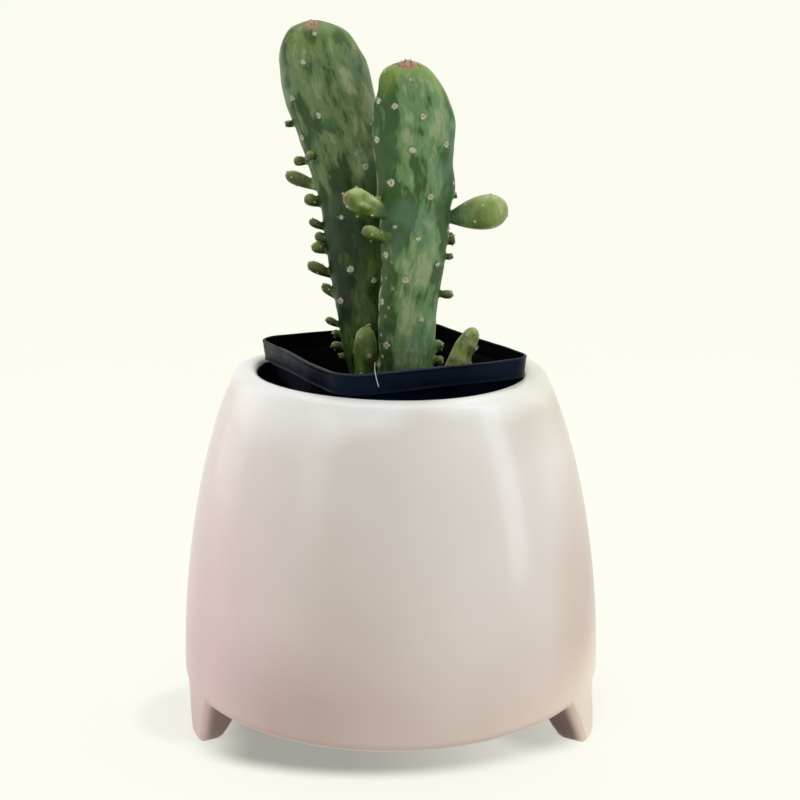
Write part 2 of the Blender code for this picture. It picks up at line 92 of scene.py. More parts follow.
# How far below the top the lip's close points reach, and every how many points of the profile are kept
LIP_REGION = 9 * MM
INNER_STRIDE, LIP_STRIDE, WALL_STRIDE = 28, 3, 11
LEG_OUTER_RADIUS = 91.7 * MM
# Legs: angle in degrees, then in millimetres how far the foot and the top reach clockwise and
# anticlockwise of it, and the outer radius of the foot
LEGS = [
    (-25, (6.3, 15.8), (4.6, 13.3), 94.8),
    (-155, (6.6, 13.0), (6.8, 13.7), 92.8),
    (90, (6.9, 13.1), (6.9, 13.1), 91.7),
]
LEG_TOP_DEPTH = 20.0 * MM
LEG_FOOT_DEPTH = 8.7 * MM
LEG_DEPTH_CURVE = 1.15
LEG_WIDTH_CURVE = 1.4
LEG_FILLET = 0.75 * MM
LEG_FOOT_FILLET = 1.5 * MM
LEG_EDGE_ROUND = 2.6 * MM
LEG_INNER_ROUND = 1.2 * MM
EDGE_SHADE = 0.28
# Half the length of a leg's outline and its step, in millimetres, and the steps it is blurred over
LEG_SPAN, LEG_FINENESS, LEG_BLUR = 24, 0.1, 80
# Columns of the shell, in degrees, and rows below the lathe's foot: wall, rounded edge and underside
LEG_REACH_ANGLE = 12.0
LEG_COLUMN_STEP = 0.2
WALL_COLUMN_STEP = 2.4
LOWER_WALL_ROWS, EDGE_ROWS, UNDER_ROWS = 17, 7, 33

# Nursery pot
POT_TURN = np.radians(27.7)
COLLAR_SIDE = 89 * MM
COLLAR_TOP = 163.4 * MM
COLLAR_BOTTOM = 154.75 * MM
COLLAR_STEP = 1.8 * MM
COLLAR_DRAFT = 1.1 * MM
STEP_ROUND = 0.7 * MM
POT_RAISED = 1.0 * MM
POT_TILT = -0.0106, -0.01
POT_FOOT = 78 * MM
POT_FOOT_SIDE = 65 * MM
POT_FOOT_CHAMFER = 2 * MM
# Corner radii: at the back, on the left, in front and on the right
POT_CORNERS = np.array([10.0, 11.0, 12.0, 8.2]) * MM
DRAIN_RADIUS = 4 * MM
DRAIN_OFFSET = 20 * MM
DRAIN_SIDES = 24
CORNER_POINTS = 24
POT_COLUMNS = 264
BODY_ROWS = 26

# Soil
SOIL_TOP = 135.5 * MM
SOIL_RELIEF = 0.9 * MM
SOIL_WAVE = 37 * MM
SOIL_GAP = 0.3 * MM
SOIL_COLUMNS = 220
SOIL_TOP_RINGS = 64
BARK_PIECES = 60

# Stems: rows of height, sideways place and half width, from the tip down, in millimetres
STEM_LEFT_ROWS = [
    (301, -31.6, 0), (296, -30.2, 11.6), (289.6, -29.2, 15.7), (283.1, -27.7, 17.9),
    (273.4, -26.2, 18.9), (263.6, -23.6, 18.6), (250.4, -20.3, 17.5), (237, -17.2, 16.1),
    (223.5, -15.2, 14.5), (209.9, -14.2, 13.9), (196.1, -13, 13.1), (182.1, -11.5, 12.1),
    (167.6, -10.1, 11.5), (151, -7.7, 10.1), (135, -6.3, 9.8), (126, -6, 8.6), (120, -6, 5.5),
]
STEM_RIGHT_ROWS = [
    (285, 7.2, 0), (280.2, 7.2, 9.7), (270.7, 8.9, 13.6), (257.9, 10.4, 16.8), (244.9, 10.2, 15.8),
    (231.8, 10.6, 15.4), (221.5, 10.4, 14.2), (208.6, 10.2, 12.9), (195.1, 9.3, 12.2),
    (178, 7.7, 11.5), (156.7, 7, 11.5), (135, 6.7, 11.2), (126, 6.5, 9.8), (120, 6.5, 6),
]
PUP_FRONT_ROWS = [
    (174, -10.6, 0), (170.5, -10.6, 3.9), (163, -10.6, 4.9), (152, -10.2, 4.8),
    (135, -9.6, 4.4), (127, -9.4, 3.6), (123, -9.4, 2.2),
]
PUP_RIGHT_ROWS = [
    (173.4, 35, 0), (170.8, 34.2, 3.4), (165, 31.6, 4.7), (158, 28.8, 4.8),
    (149, 26.2, 4.6), (135, 24.2, 4.2), (127, 23.6, 3.6), (123, 23.6, 2.2),
]
# Places of a stem: depth behind the origin, turn of its flat side, thickness to width at tip and base
STEMS = {
    "stem_left": (STEM_LEFT_ROWS, 9.6 * MM, np.radians(9), 0.53, 0.72),
    "stem_right": (STEM_RIGHT_ROWS, -7.2 * MM, np.radians(14), 0.55, 0.66),
    "pup_front": (PUP_FRONT_ROWS, -4.2 * MM, np.radians(6), 0.66, 0.75),
    "pup_right": (PUP_RIGHT_ROWS, -3.0 * MM, np.radians(-10), 0.92, 0.95),
}
TALL = ("stem_left", "stem_right")
# Large lighter and darker areas of the skin, partly its own marbling and partly painted shade along its
# edges: height, place across, half height, half breadth, lift
TONE_AND_SHADE_AREAS = {
    "stem_left": [
        (276, 0.32, 4, 0.2, 0.15), (274, -0.55, 4, 0.16, 0.12), (258, 0.62, 13, 0.26, 0.08),
        (256.5, -0.55, 4, 0.18, 0.14), (240, -0.6, 12, 0.35, -0.16), (286, -0.1, 7, 0.6, -0.04),
        (288, -0.85, 8, 0.2, -0.08), (291, 0.85, 7, 0.2, -0.1), (289, 0.15, 4, 0.3, 0.07),
        (241, 0.2, 7, 0.2, 0.12), (236, -0.4, 4, 0.2, -0.3), (266.5, 0.55, 4.5, 0.2, 0.18),
        (212, 0, 16, 1, -0.06), (187, -0.1, 10, 0.4, 0.12), (199, -0.85, 17, 0.26, -0.42),
        (256.5, -0.9, 5, 0.15, -0.28), (295.6, 0.5, 4, 0.3, -0.15), (275, -0.05, 4, 0.15, -0.1),
        (246, -0.1, 4, 0.25, -0.09), (246, 0.68, 4, 0.2, 0.11), (236, -0.8, 4, 0.15, 0.17),
        (237, 0.35, 4, 0.2, 0.14), (256.5, 0.5, 4, 0.2, 0.09), (267, -0.4, 5, 0.3, -0.07),
        (264, -0.85, 5, 0.15, -0.06),
    ],
    "stem_right": [
        (206, -0.1, 9, 0.35, 0.16), (252, 0.1, 7, 0.5, 0.05), (223, 0.1, 9, 0.8, -0.12),
        (212, 0.5, 6, 0.22, 0.1), (260, -0.5, 6, 0.2, 0.1), (187, -0.35, 6, 0.22, 0.25),
        (187, 0.12, 5, 0.15, -0.14), (263, 0.3, 7, 0.22, 0.1), (263, 0.75, 8, 0.2, 0.03),
        (236, 0.45, 6, 0.2, 0.13), (275, 0.2, 3.5, 0.25, 0.09), (268, -0.15, 5, 0.25, -0.08),
        (230, 0.93, 28, 0.2, -0.24), (192, 0.95, 14, 0.2, -0.14), (175, 0.35, 7, 0.25, 0.1),
        (197.4, 0.17, 4, 0.18, 0.24), (197.4, 0.55, 4, 0.12, -0.3), (207.5, -0.22, 4, 0.18, 0.2),
        (175, -0.25, 6, 0.25, 0.1), (216, -0.15, 4, 0.2, 0.08), (216, 0.6, 4, 0.2, 0.1),
        (266, 0, 4, 0.22, -0.12), (260, -0.8, 4, 0.2, -0.1), (260, -0.4, 4, 0.2, 0.11),
        (259, 0.36, 5, 0.2, 0.17), (241.8, -0.6, 5, 0.3, -0.12), (242, 0.82, 10, 0.2, -0.16),
        (235.7, -0.7, 4, 0.25, -0.1), (229.7, -0.25, 5, 0.25, -0.13), (216, 0.9, 6, 0.2, -0.34),
        (241.8, 0, 4, 0.2, -0.08), (222.8, -0.55, 4, 0.15, -0.1), (215.6, -0.5, 4, 0.15, -0.15),
        (235.7, -0.28, 3.5, 0.12, 0.14), (187, -0.7, 5, 0.15, 0.1), (163, 0.5, 7, 0.5, 0.1),
    ],
    "pup_front": [(172, 0, 4, 1, 0.05)],
    "pup_right": [(160, 0.5, 8, 0.5, 0.06), (165, -0.7, 9, 0.4, -0.06)],
}
# Painted shade that darkens the lower skin: height where it starts, height where it is full, and its share
PAINTED_LOW_SHADE = {
    "stem_left": (247 * MM, 216 * MM, 0.85), "stem_right": (150 * MM, 138 * MM, 0.3),
    "pup_front": (172 * MM, 160 * MM, 0.5), "pup_right": (158 * MM, 148 * MM, 0.3),
}
# Young leaves of the growing tips: height, place across and breadth in millimetres
GROWING_TIPS = {
    "stem_left": [
        (299.4, -0.25, 1.35), (298, -0.36, 1.3), (298.4, 0.02, 1.1), (299.4, 0.1, 0.8),
        (296.9, -0.2, 0.8),
    ],
    "stem_right": [
        (282.4, -0.66, 1.15), (282.9, -0.34, 1.4), (283.1, 0.02, 1.5), (282.8, 0.36, 1.35),
        (282.2, 0.7, 1), (284, -0.2, 1), (283.9, 0.25, 0.95), (281.3, -0.12, 0.9), (281.2, 0.2, 0.8),
    ],
}
TIP_ROOM = 1.0 * MM
SECTION_POWER = 2.25
SWELLING = 0.9 * MM
SWELLING_REACH = 3.8 * MM
PUP_SWELLING_REACH = 1.9 * MM
STEM_SIDES = 168
STEM_TIP_DOME = 17 * MM
PUP_TIP_DOME = 4 * MM
DOME_RINGS = 36
RING_SPACING = 0.9 * MM
# The skin's points are drawn to and from their neighbours' mean in turn, which evens it without shrinking
SMOOTHING_PULLS = (0.55, -0.57) * 6 + (0.4,)
# What the skin's colours follow, stored on its points
SKIN_MEASURES = (
    "tone_and_shade", "painted_low_shade", "below_areole", "above_areole", "crest", "crown", "flushed", "buried", "fresh",
    "shoot", "shoot_end", "shoot_painted_light",
)

# Areoles on the front: height in millimetres, place across from -1 at the left edge to 1, size, kind
AREOLES_FRONT = {
    "stem_left": [
        (294, -0.07, 0.8, "pad"), (283, -0.42, 1, "pad"), (269, -0.77, 1, "bud"),
        (262, -0.34, 1.15, "pad"), (253, -0.84, 1, "bud"), (245, -0.68, 0.9, "bud"),
        (258, 0.76, 0.8, "pad"), (241, 0.45, 1.2, "ring"), (220, -0.39, 0.85, "pad"),
        (198, -0.27, 1.35, "ring"), (184, -0.74, 1.2, "bud"), (193, 0.41, 1, "bud"),
        (173, 0.1, 1.2, "ring"), (162, -0.5, 0.9, "bud"),
    ],
    "stem_right": [
        (268, -0.9, 1.15, "pad"), (266, -0.5, 1.15, "bud"), (262, 0.18, 1.1, "ring"),
        (272, 0.57, 0.6, "pad"), (253, -0.9, 1.3, "ring"), (249, -0.08, 1.3, "pad"),
        (251, 0.73, 1.15, "bud"), (236, -0.63, 1.35, "ring"), (230, 0.36, 1.1, "bud"),
        (235, 0.95, 0.7, "pad"), (218, -0.59, 0.7, "pad"), (229, -0.93, 1, "pad"),
        (213, 0.08, 0.95, "pad"), (216, 0.95, 0.8, "pad"), (206, -0.88, 1.4, "ring"),
        (202, 0.73, 1, "pad"), (196, -0.25, 1.25, "bud"), (186, -0.93, 1.35, "ring"),
        (179, 0.42, 0.9, "pad"), (168, -0.73, 1.3, "bud"), (159, -0.95, 1.15, "pad"),
        (276.4, 0.03, 0.7, "pad"), (279.2, -0.85, 0.8, "pad"), (209, -0.97, 0.45, "pad"),
        (203, -0.7, 0.5, "pad"), (199, -0.98, 0.45, "pad"), (196.5, -0.85, 0.4, "pad"),
        (192, -0.62, 0.4, "pad"), (190.5, -0.98, 0.45, "pad"), (180, -0.8, 0.4, "pad"),
        (177, -0.98, 0.5, "pad"), (172, -0.9, 0.45, "pad"), (163, -0.85, 0.45, "pad"),
        (184, -0.72, 0.35, "pad"), (216, -0.95, 0.5, "pad"),
    ],
    "pup_front": [(170, -0.4, 0.85, "bud"), (162, 0.3, 0.8, "pad"), (154, -0.4, 0.8, "pad")],
    "pup_right": [
        (170.5, -0.4, 0.7, "pad"), (165, 0.85, 0.8, "pad"), (161, -0.6, 0.85, "ring"),
        (154, 0.4, 0.8, "pad"), (167, 0.25, 0.7, "bud"), (156, -0.85, 0.8, "pad"),
        (159.5, 0.35, 0.8, "ring"), (171, 0.5, 0.6, "pad"), (151, -0.3, 0.8, "pad"),
        (158, 0.95, 0.7, "pad"),
    ],
}
BACK_ROW_SPACING = 17 * MM
BACK_AREOLES_ACROSS = (-0.72, 0.0, 0.72)
BACK_LOWEST = 150 * MM

# Edge shoots in millimetres: height of the root, the tip's sideways place and height, thickness, freshness
SHOOTS_LEFT_EDGE = [
    (257.6, -44.1, 258.2, 3, 0.1), (242.4, -40.9, 242.6, 4.2, 0.35), (232, -44.5, 237, 5.9, 0.3),
    (224.6, -36.4, 227.4, 5.2, 0.5), (214.3, -34.6, 217.7, 3.8, 0.3), (209, -32.2, 211.4, 4.2, 0.35),
    (204.4, -33.7, 206.9, 4.8, 0.45), (194.1, -35.5, 199.3, 5.1, 0.25), (184.8, -29.7, 189.4, 4.2, 0.1),
    (171.8, -28.3, 174.7, 3.5, 0.2), (167.4, -25.4, 168.9, 3.4, 0.1), (162.2, -26, 163.1, 3.8, 0.1),
    (157.2, -22.8, 158.2, 3.4, 0.1),
]
SHOOTS_RIGHT_EDGE = [
    (229.4, 27.5, 230.2, 3.3, 0.5), (220.2, 49, 224.2, 14.6, 1), (211.1, 27, 211.9, 5.6, 0.45),
    (204, 26.3, 204.4, 2.9, 0.2), (188.3, 26.5, 188.3, 3.8, 0.4), (164, 22, 167.4, 4.6, 0.5),
    (160, 22.6, 159.4, 4.4, 0.2),
]
# Shoots on the front: height and place across of the root, the tip's place, thickness and freshness
SHOOTS_FRONT = {
    "stem_left": [(245, -0.7, (-34.2, -3.4, 246), 4.2, 0.5)],
    "stem_right": [
        (223.5, -0.93, (-18.6, -20.5, 231), 9, 0.95),
        (211.6, -0.86, (-11, -20.5, 217.6), 6, 1),
    ],
    "pup_front": [],
    "pup_right": [],
}
SHOOT_ROOT = 2.6 * MM
SHOOT_PEAK = 0.66
SHOOT_NECK = 0.62
WIDE_SHOOT_NECK = 0.3
WIDE_SHOOT = 10 * MM
RIBBED_SHOOT = 7 * MM
SHOOT_SWING = 0.35
SHOOT_SIDES = 36
SHOOT_RINGS = 30
LEAF_SIDES = 8
# Numbers of the areoles' materials
WOOL, HORN, BUD, FELT_AND_SHADE, TIP, HAIR = range(6)
# The stray hair, in millimetres, from the lowest areole of the right stem over the pot's rim
STRAY_HAIR_PATH = [
    (-5.6, -12.6, 158.4), (-5.9, -20, 161.4), (-6.1, -34, 165.2), (-6.0, -48, 166.7),
    (-5.9, -53.2, 166.4), (-5.5, -54.9, 164.6), (-4.9, -55.2, 162.0), (-4.3, -55.0, 160.0),
]

# Camera, fitted to the planter's rim in the photograph's view
CAMERA_PLACE = (4.04 * MM, -588.65 * MM, 290.8 * MM)
CAMERA_PITCH = np.radians(90 - 14.31)
CAMERA_LENS = 63.0

# Sweep, in metres: where the floor starts to bend, the bend's radius, the top and the reach
SWEEP_START, SWEEP_BEND, SWEEP_TOP, SWEEP_REACH = 1.0, 0.8, 3.2, 9.0


def linear(code):
    """Linear colour of an sRGB hex code."""
    values = [int(code[i:i + 2], 16) / 255 for i in (1, 3, 5)]
    return tuple(v / 12.92 if v <= 0.04045 else ((v + 0.055) / 1.055) ** 2.4 for v in values)


def with_alpha(colour):
    """Opaque linear colour, of an sRGB hex code or of linear values."""
    return (*(linear(colour) if isinstance(colour, str) else colour), 1)


def colour_setting(name, description, code):
    return FloatVectorProperty(
        name=name, description=description, subtype="COLOR", size=3, min=0.0, max=1.0, default=linear(code)
    )


def number_setting(name, description, number, **more):
    return FloatProperty(name=name, description=description, min=0.0, default=number, **more)


def length_setting(name, description, millimetres):
    return FloatProperty(
        name=name, description=description, subtype="DISTANCE", unit="LENGTH",
        min=0.0, default=millimetres * MM, precision=5,
    )


def repeats(size):
    """Texture scale, over coordinates in metres, for features of a size in millimetres."""
    return 1 / (size * MM)


def plug(tree, node, inputs):
    """Sets a node's inputs to values, or links them to sockets or to the first result of other nodes."""
    for key, value in inputs.items():
        socket = node.inputs[key]
        if isinstance(value, bpy.types.Node):
            value = next(output for output in value.outputs if output.enabled)
        if isinstance(value, bpy.types.NodeSocket):
            tree.links.new(value, socket)
        else:
            socket.default_value = with_alpha(value) if socket.type == "RGBA" else value


def add_node(tree, kind, inputs=None, stops=(), **settings):
    """Adds a node: its settings, its inputs' values or links, and a colour ramp's stops."""
    node = tree.nodes.new("ShaderNode" + kind)
    for key, value in settings.items():
        setattr(node, key, value)
    plug(tree, node, inputs or {})
    if stops:
        elements = node.color_ramp.elements
        elements[0].position, elements[1].position = stops[0][0], stops[-1][0]
        for place, _ in stops[1:-1]:
            elements.new(place)
        for element, (_, colour) in zip(elements, stops):
            element.color = with_alpha(colour)
    return node


def new_material(name, finish):
    """New material, its nodes and its shader, whose constant values are set on its own sockets."""
    material = bpy.data.materials.new(name)
    material.use_nodes = True
    shader = material.node_tree.nodes["Principled BSDF"]
    plug(material.node_tree, shader, finish)
    return material, material.node_tree, shader


def mottled(name, finish, noise, stops, bump=None):
    """Material whose colour, and relief where it has a bump, follow one noise through the piece."""
    material, tree, shader = new_material(name, finish)
    place = add_node(tree, "TexCoord").outputs["Object"]
    noise = add_node(tree, "TexNoise", {"Vector": place, **noise})
    plug(tree, shader, {"Base Color": add_node(tree, "ValToRGB", {"Fac": noise}, stops=stops)})
    if bump:
        plug(tree, shader, {"Normal": add_node(tree, "Bump", {"Height": noise, **bump})})
    return material


def make_mesh(name, points, faces, sharp=180):
    """Smooth closed mesh with its faces turned outwards."""
    mesh = bpy.data.meshes.new(name)
    mesh.from_pydata(np.asarray(points).tolist(), [], faces)
    bm = bmesh.new()
    bm.from_mesh(mesh)
    bmesh.ops.recalc_face_normals(bm, faces=bm.faces)
    bm.to_mesh(mesh)
    bm.free()
    mesh.shade_smooth()
    if sharp < 180:
        mesh.set_sharp_from_angle(angle=np.radians(sharp))
    return mesh


def add_piece(name, mesh, materials, finishes=None):
    """Object that rides on the frame's one body, with a material for each of its finishes."""
    piece = bpy.data.objects.new(name, mesh)
    bpy.context.scene.collection.objects.link(piece)
    mesh.materials.clear()
    for material in materials:
        mesh.materials.append(material)
    if finishes is not None:
        mesh.polygons.foreach_set("material_index", finishes)
    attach(piece, "root")
    return piece


def tube_faces(rows, columns):
    """Faces of a grid of rows of points that close round on themselves."""
    row, column = np.meshgrid(np.arange(rows - 1), np.arange(columns), indexing="ij")
    following = (column + 1) % columns
    corners = (row * columns + column, row * columns + following)
    upper = ((row + 1) * columns + following, (row + 1) * columns + column)
    return np.stack([*corners, *upper], -1).reshape(-1, 4).tolist()


def closed_tube(rings, first_pole=None, last_pole=None):
    """Points and faces of a solid through rings, capped flat or drawn to a pole at either end."""
    rings = np.asarray(rings)
    rows, columns = rings.shape[:2]
    points = rings.reshape(-1, 3)
    faces = tube_faces(rows, columns)
    for start, pole in ((0, first_pole), ((rows - 1) * columns, last_pole)):
        if pole is None:
            faces.append(list(range(start, start + columns)))
        else:
            faces += [[start + i, start + (i + 1) % columns, len(points)] for i in range(columns)]
            points = np.concatenate([points, [pole]])
    return points, faces


def join_shapes(shapes):
    """Points, faces and finish numbers of several shapes as one."""
    points, faces, finishes, start = [], [], [], 0
    for shape_points, shape_faces, finish in shapes:
        points.append(shape_points)
        faces += [[corner + start for corner in face] for face in shape_faces]
        finishes += [finish] * len(shape_faces)
        start += len(shape_points)
    return np.concatenate(points), faces, finishes


def unit(vectors):
    """Vectors brought to length 1."""
    return vectors / np.linalg.norm(vectors, axis=-1, keepdims=True)


def circle(count):
    """Angles of evenly spaced points round a circle."""
    return np.linspace(0, 2 * np.pi, count, endpoint=False)


def spokes(side, up, turns):
    """Directions at angles from one direction towards another."""
    turns = np.asarray(turns)[..., None]
    return side * np.cos(turns) + up * np.sin(turns)


def turned(x, y, turn):
    """Flat place turned about the upright axis."""
    cos, sin = np.cos(turn), np.sin(turn)
    return x * cos - y * sin, x * sin + y * cos


def at_height(flat, height):
    """Flat points lifted to a height."""
    return np.concatenate([flat, np.full((len(flat), 1), height)], 1)


def bell(distance, reach, fall=1.0):
    """Smooth bump that is 1 at no distance and fades away over a reach."""
    return np.exp(-fall * (distance / reach) ** 2)


def distances(path):
    """How far along a path each of its points lies."""
    return np.concatenate([[0], np.cumsum(np.linalg.norm(np.diff(path, axis=0), axis=1))])


def points_at(at, along, path):
    """Points of a path at distances along it."""
    return np.stack([np.interp(at, along, column) for column in path.T], -1)


def evaluated_mesh(piece):
    """Mesh of a piece with its modifiers applied."""
    return bpy.data.meshes.new_from_object(piece.evaluated_get(bpy.context.evaluated_depsgraph_get()))


def ripple(points, size, seed, waves=14):
    """Smooth random relief, mostly between -1 and 1, with bumps of a size, at points."""
    draw = np.random.default_rng(seed)
    directions = draw.normal(size=(waves, 3))
    directions *= (draw.uniform(0.7, 1.3, waves) / np.linalg.norm(directions, axis=1))[:, None]
    phases = draw.uniform(0, 2 * np.pi, waves)
    cycles = points / np.asarray(size) @ directions.T
    return np.sin(2 * np.pi * cycles + phases).sum(-1) / np.sqrt(1.5 * waves)


def ease(low, high, value):
    """Smooth step from 0 at low to 1 at high."""
    share = np.clip((value - low) / (high - low), 0, 1)
    return share * share * (3 - 2 * share)


def lump(subdivisions):
    """Points and faces of a unit ball."""
    bm = bmesh.new()
    bmesh.ops.create_icosphere(bm, subdivisions=subdivisions, radius=1.0)
    points = np.array([vert.co[:] for vert in bm.verts])
    faces = [[vert.index for vert in face.verts] for face in bm.faces]
    bm.free()
    return points, faces


def axes(normal):
    """Unit directions across and up a surface, from its outward direction."""
    side = np.cross([0, 0, 1], normal)
    if np.linalg.norm(side) < 0.05:
        side = np.cross([0, 1, 0], normal)
    side = unit(side)
    return side, np.cross(normal, side)


def bristles(roots, directions, lengths, thickness):
    """Points and faces of fine three-sided bristles, closed at the root."""
    count = len(roots)
    turns = np.radians([0, 120, 240])
    points = np.zeros((count, 4, 3))
    for i in range(count):
        points[i, :3] = roots[i] + spokes(*axes(directions[i]), turns) * thickness / 2
        points[i, 3] = roots[i] + directions[i] * lengths[i]
    corners = np.array([[0, 1, 3], [1, 2, 3], [2, 0, 3], [0, 2, 1]])
    faces = (np.arange(count)[:, None, None] * 4 + corners).reshape(-1, 3).tolist()
    return points.reshape(-1, 3), faces


# Planter


def wall_radius(height):
    """Outer radius of the planter's wall at a height."""
    rise = np.clip((height - WALL_CURVE_FOOT) / WALL_CURVE_HEIGHT, 0, 1)
    return PLANTER_RADIUS * (1 - rise ** WALL_CURVE_POWER) ** WALL_CURVE_ROOT


def softened(path, spacing, softness):
    """Path of points resampled evenly, with its corners rounded."""
    along = distances(path)
    even = points_at(np.linspace(0, along[-1], int(along[-1] / spacing) + 1), along, path)
    reach = int(3 * softness / spacing)
    kernel = bell(np.arange(-reach, reach + 1) * spacing, softness, 0.5)
    kernel /= kernel.sum()
    before = 2 * even[0] - even[reach:0:-1]
    after = 2 * even[-1] - even[-2:-reach - 2:-1]
    padded = np.concatenate([before, even, after])
    return np.stack([np.convolve(column, kernel, "valid") for column in padded.T], -1)


def planter_profile(thickness):
    """Radius and height of the shell's section, from the inner floor over the lip and down the wall."""
    floor = PLANTER_UNDERSIDE + FLOOR_THICKNESS
    inner_foot = wall_radius(floor) - thickness - INNER_FOOT_REACH
    path = [(AXIS_GAP, floor)]
    for turn in np.radians(np.arange(-90, -9, 10)):
        height = floor + INNER_FOOT_HEIGHT * (1 + np.sin(turn))
        path.append((inner_foot + INNER_FOOT_REACH * np.cos(turn), height))
    for height in np.linspace(floor + INNER_FOOT_HEIGHT, INNER_WALL_TOP, 30):
        path.append((wall_radius(height) - thickness, height))
    for turn in np.radians(np.arange(180, 90, -10)):
        radius = LIP_RADIUS + (LIP_RADIUS - LIP_INNER_RADIUS) * np.cos(turn)
        path.append((radius, PLANTER_TOP - LIP_DROP * (1 - np.sin(turn))))
    shoulder = PLANTER_TOP - LIP_OUTER_DROP
    lip_reach = wall_radius(shoulder) - LIP_RADIUS
    for turn in np.radians(np.arange(90, 24, -8)):
        path.append((LIP_RADIUS + lip_reach * np.cos(turn), shoulder + LIP_OUTER_DROP * np.sin(turn)))
    for height in np.linspace(shoulder - SHOULDER_GAP, LATHE_FOOT, 60):
        path.append((wall_radius(height), height))
    return softened(np.array(path), PROFILE_SPACING, PROFILE_SOFTNESS)


def lathe_points(profile):
    """Points of the profile that the shell keeps: close together on the lip, wider apart elsewhere."""
    high = profile[:, 1] > PLANTER_TOP - LIP_REGION
    first = np.argmax(high)
    lip = np.arange(first, len(high) - np.argmax(high[::-1]), LIP_STRIDE)
    wall = np.append(np.arange(lip[-1] + 8, len(profile) - 6, WALL_STRIDE), len(profile) - 1)
    return profile[np.concatenate([np.arange(0, first, INNER_STRIDE), lip, wall])]


def degrees_apart(angle, other):
    """Signed angle from another angle, in degrees, the short way round."""
    return (angle - other + 180) % 360 - 180


def column_angles():
    """Angles of the shell's columns in degrees: close together at the legs."""
    angles = set(np.arange(0, 360, WALL_COLUMN_STEP))
    near = np.arange(-LEG_REACH_ANGLE, LEG_REACH_ANGLE + 0.001, LEG_COLUMN_STEP)
    for leg in LEGS:
        angles = {a for a in angles if abs(degrees_apart(a, leg[0])) > LEG_REACH_ANGLE + 0.5}
        angles |= {round(a, 4) for a in (leg[0] + near) % 360}
    return np.array(sorted(angles))


def leg_outline(leg):
    """Offsets from a leg's middle, round the wall, and there the height and slope of the lower edge."""
    fine = np.arange(-LEG_SPAN, LEG_SPAN + 0.01, LEG_FINENESS) * MM
    foot, top = np.where(fine[:, None] < 0, *(np.array(side) * MM for side in leg[1:3])).T
    beyond = (np.abs(fine) - foot) / (top - foot)
    heights = PLANTER_UNDERSIDE * np.clip(beyond, 0, 1) ** (1 / LEG_WIDTH_CURVE)
    padded = np.pad(heights, LEG_BLUR, mode="edge")
    blurred = []
    for fillet in (LEG_FILLET, LEG_FOOT_FILLET):
        kernel = bell(np.arange(-LEG_BLUR, LEG_BLUR + 1) * LEG_FINENESS * MM, fillet, 0.5)
        blurred.append(np.convolve(padded, kernel / kernel.sum(), "valid"))
    crisp, soft = blurred
    heights = soft + (crisp - soft) * ease(5 * MM, 13 * MM, crisp)
    heights -= heights.min() * (1 - heights / PLANTER_UNDERSIDE)
    return fine, heights, np.abs(np.gradient(heights, fine))


def slumped(points):
    """Points of the planter with its lip a little high in front on the left, as it slumped in the kiln."""
    x, y, z = points.T
    lift = LIP_RISE[0] + LIP_RISE[1] * ease(40 * MM, -50 * MM, x) * ease(34 * MM, 5 * MM, y)
    return points + np.stack([0 * x, 0 * x, lift * ease(90 * MM, 148 * MM, z)], -1)


def lower_column(edge, slope, foot_radius):
    """Section below the lathe's foot where the lower edge is at a height: wall, edge, leg and underside.

    Also gives each point's share of painted shade: 0 on the wall, a faint band just above the lower edge,
    and rising to 1 well inside.
    """
    rise = edge / PLANTER_UNDERSIDE
    outer = foot_radius + (PLANTER_RADIUS - foot_radius) * ease(0, 1, rise)
    reach = LEG_EDGE_ROUND + (LOWER_EDGE_ROUND - LEG_EDGE_ROUND) * ease(0.75, 1, rise)
    reach -= (LEG_EDGE_ROUND - LOWER_EDGE_ROUND) * ease(1.5, 0, slope) * ease(0.4, 0, rise)
    climb = min(reach * np.sqrt(1 + slope ** 2), LATHE_FOOT - 1.5 * MM - edge)
    wall = np.linspace(LATHE_FOOT, edge + climb, LOWER_WALL_ROWS + 1)[1:]
    below = ease(PLANTER_UNDERSIDE + 3 * MM, edge, wall) if edge < PLANTER_UNDERSIDE else 0 * wall
    rows = np.stack([wall_radius(wall) + (outer - PLANTER_RADIUS) * below, wall], -1)
    turns = np.radians(np.linspace(0, 90, EDGE_ROWS + 1))[1:]
    start = rows[-1, 0]
    arc = np.stack([
        start - (start - outer + reach) * (1 - np.cos(turns)), edge + climb * (1 - np.sin(turns))
    ], -1)

    def inner_radius(height):
        depth = LEG_TOP_DEPTH - LEG_FOOT_DEPTH
        return LEG_OUTER_RADIUS - LEG_FOOT_DEPTH - depth * (height / PLANTER_UNDERSIDE) ** LEG_DEPTH_CURVE

    path = [arc[-1]]
    if edge < PLANTER_UNDERSIDE - 0.2 * MM:
        for height in np.linspace(edge, PLANTER_UNDERSIDE, 9):
            path.append((inner_radius(height), height))
    path.append((AXIS_GAP, PLANTER_UNDERSIDE))
    path = softened(np.array(path), PROFILE_SPACING, LEG_INNER_ROUND)
    path[:, 1] = np.clip(path[:, 1], edge, PLANTER_UNDERSIDE)
    along = distances(path)
    # The rows lie closest together next to the edge
    inner = points_at(along[-1] * np.linspace(0, 1, UNDER_ROWS + 1)[1:] ** 1.5, along, path)
    below = np.concatenate([arc, inner])
    # Painted shade: a faint band on the wall just above the lower edge, and darker from the rounded edge
    # inwards
    band = EDGE_SHADE * ease(0.3, 1, rise)
    painted_shade = np.concatenate([
        band * ease(4.5 * MM, 1.0 * MM, wall - edge),
        band + (1 - band) * ease(0.3 * MM, 5.5 * MM, outer - below[:, 0]),
    ])
    return np.concatenate([rows, below]), painted_shade


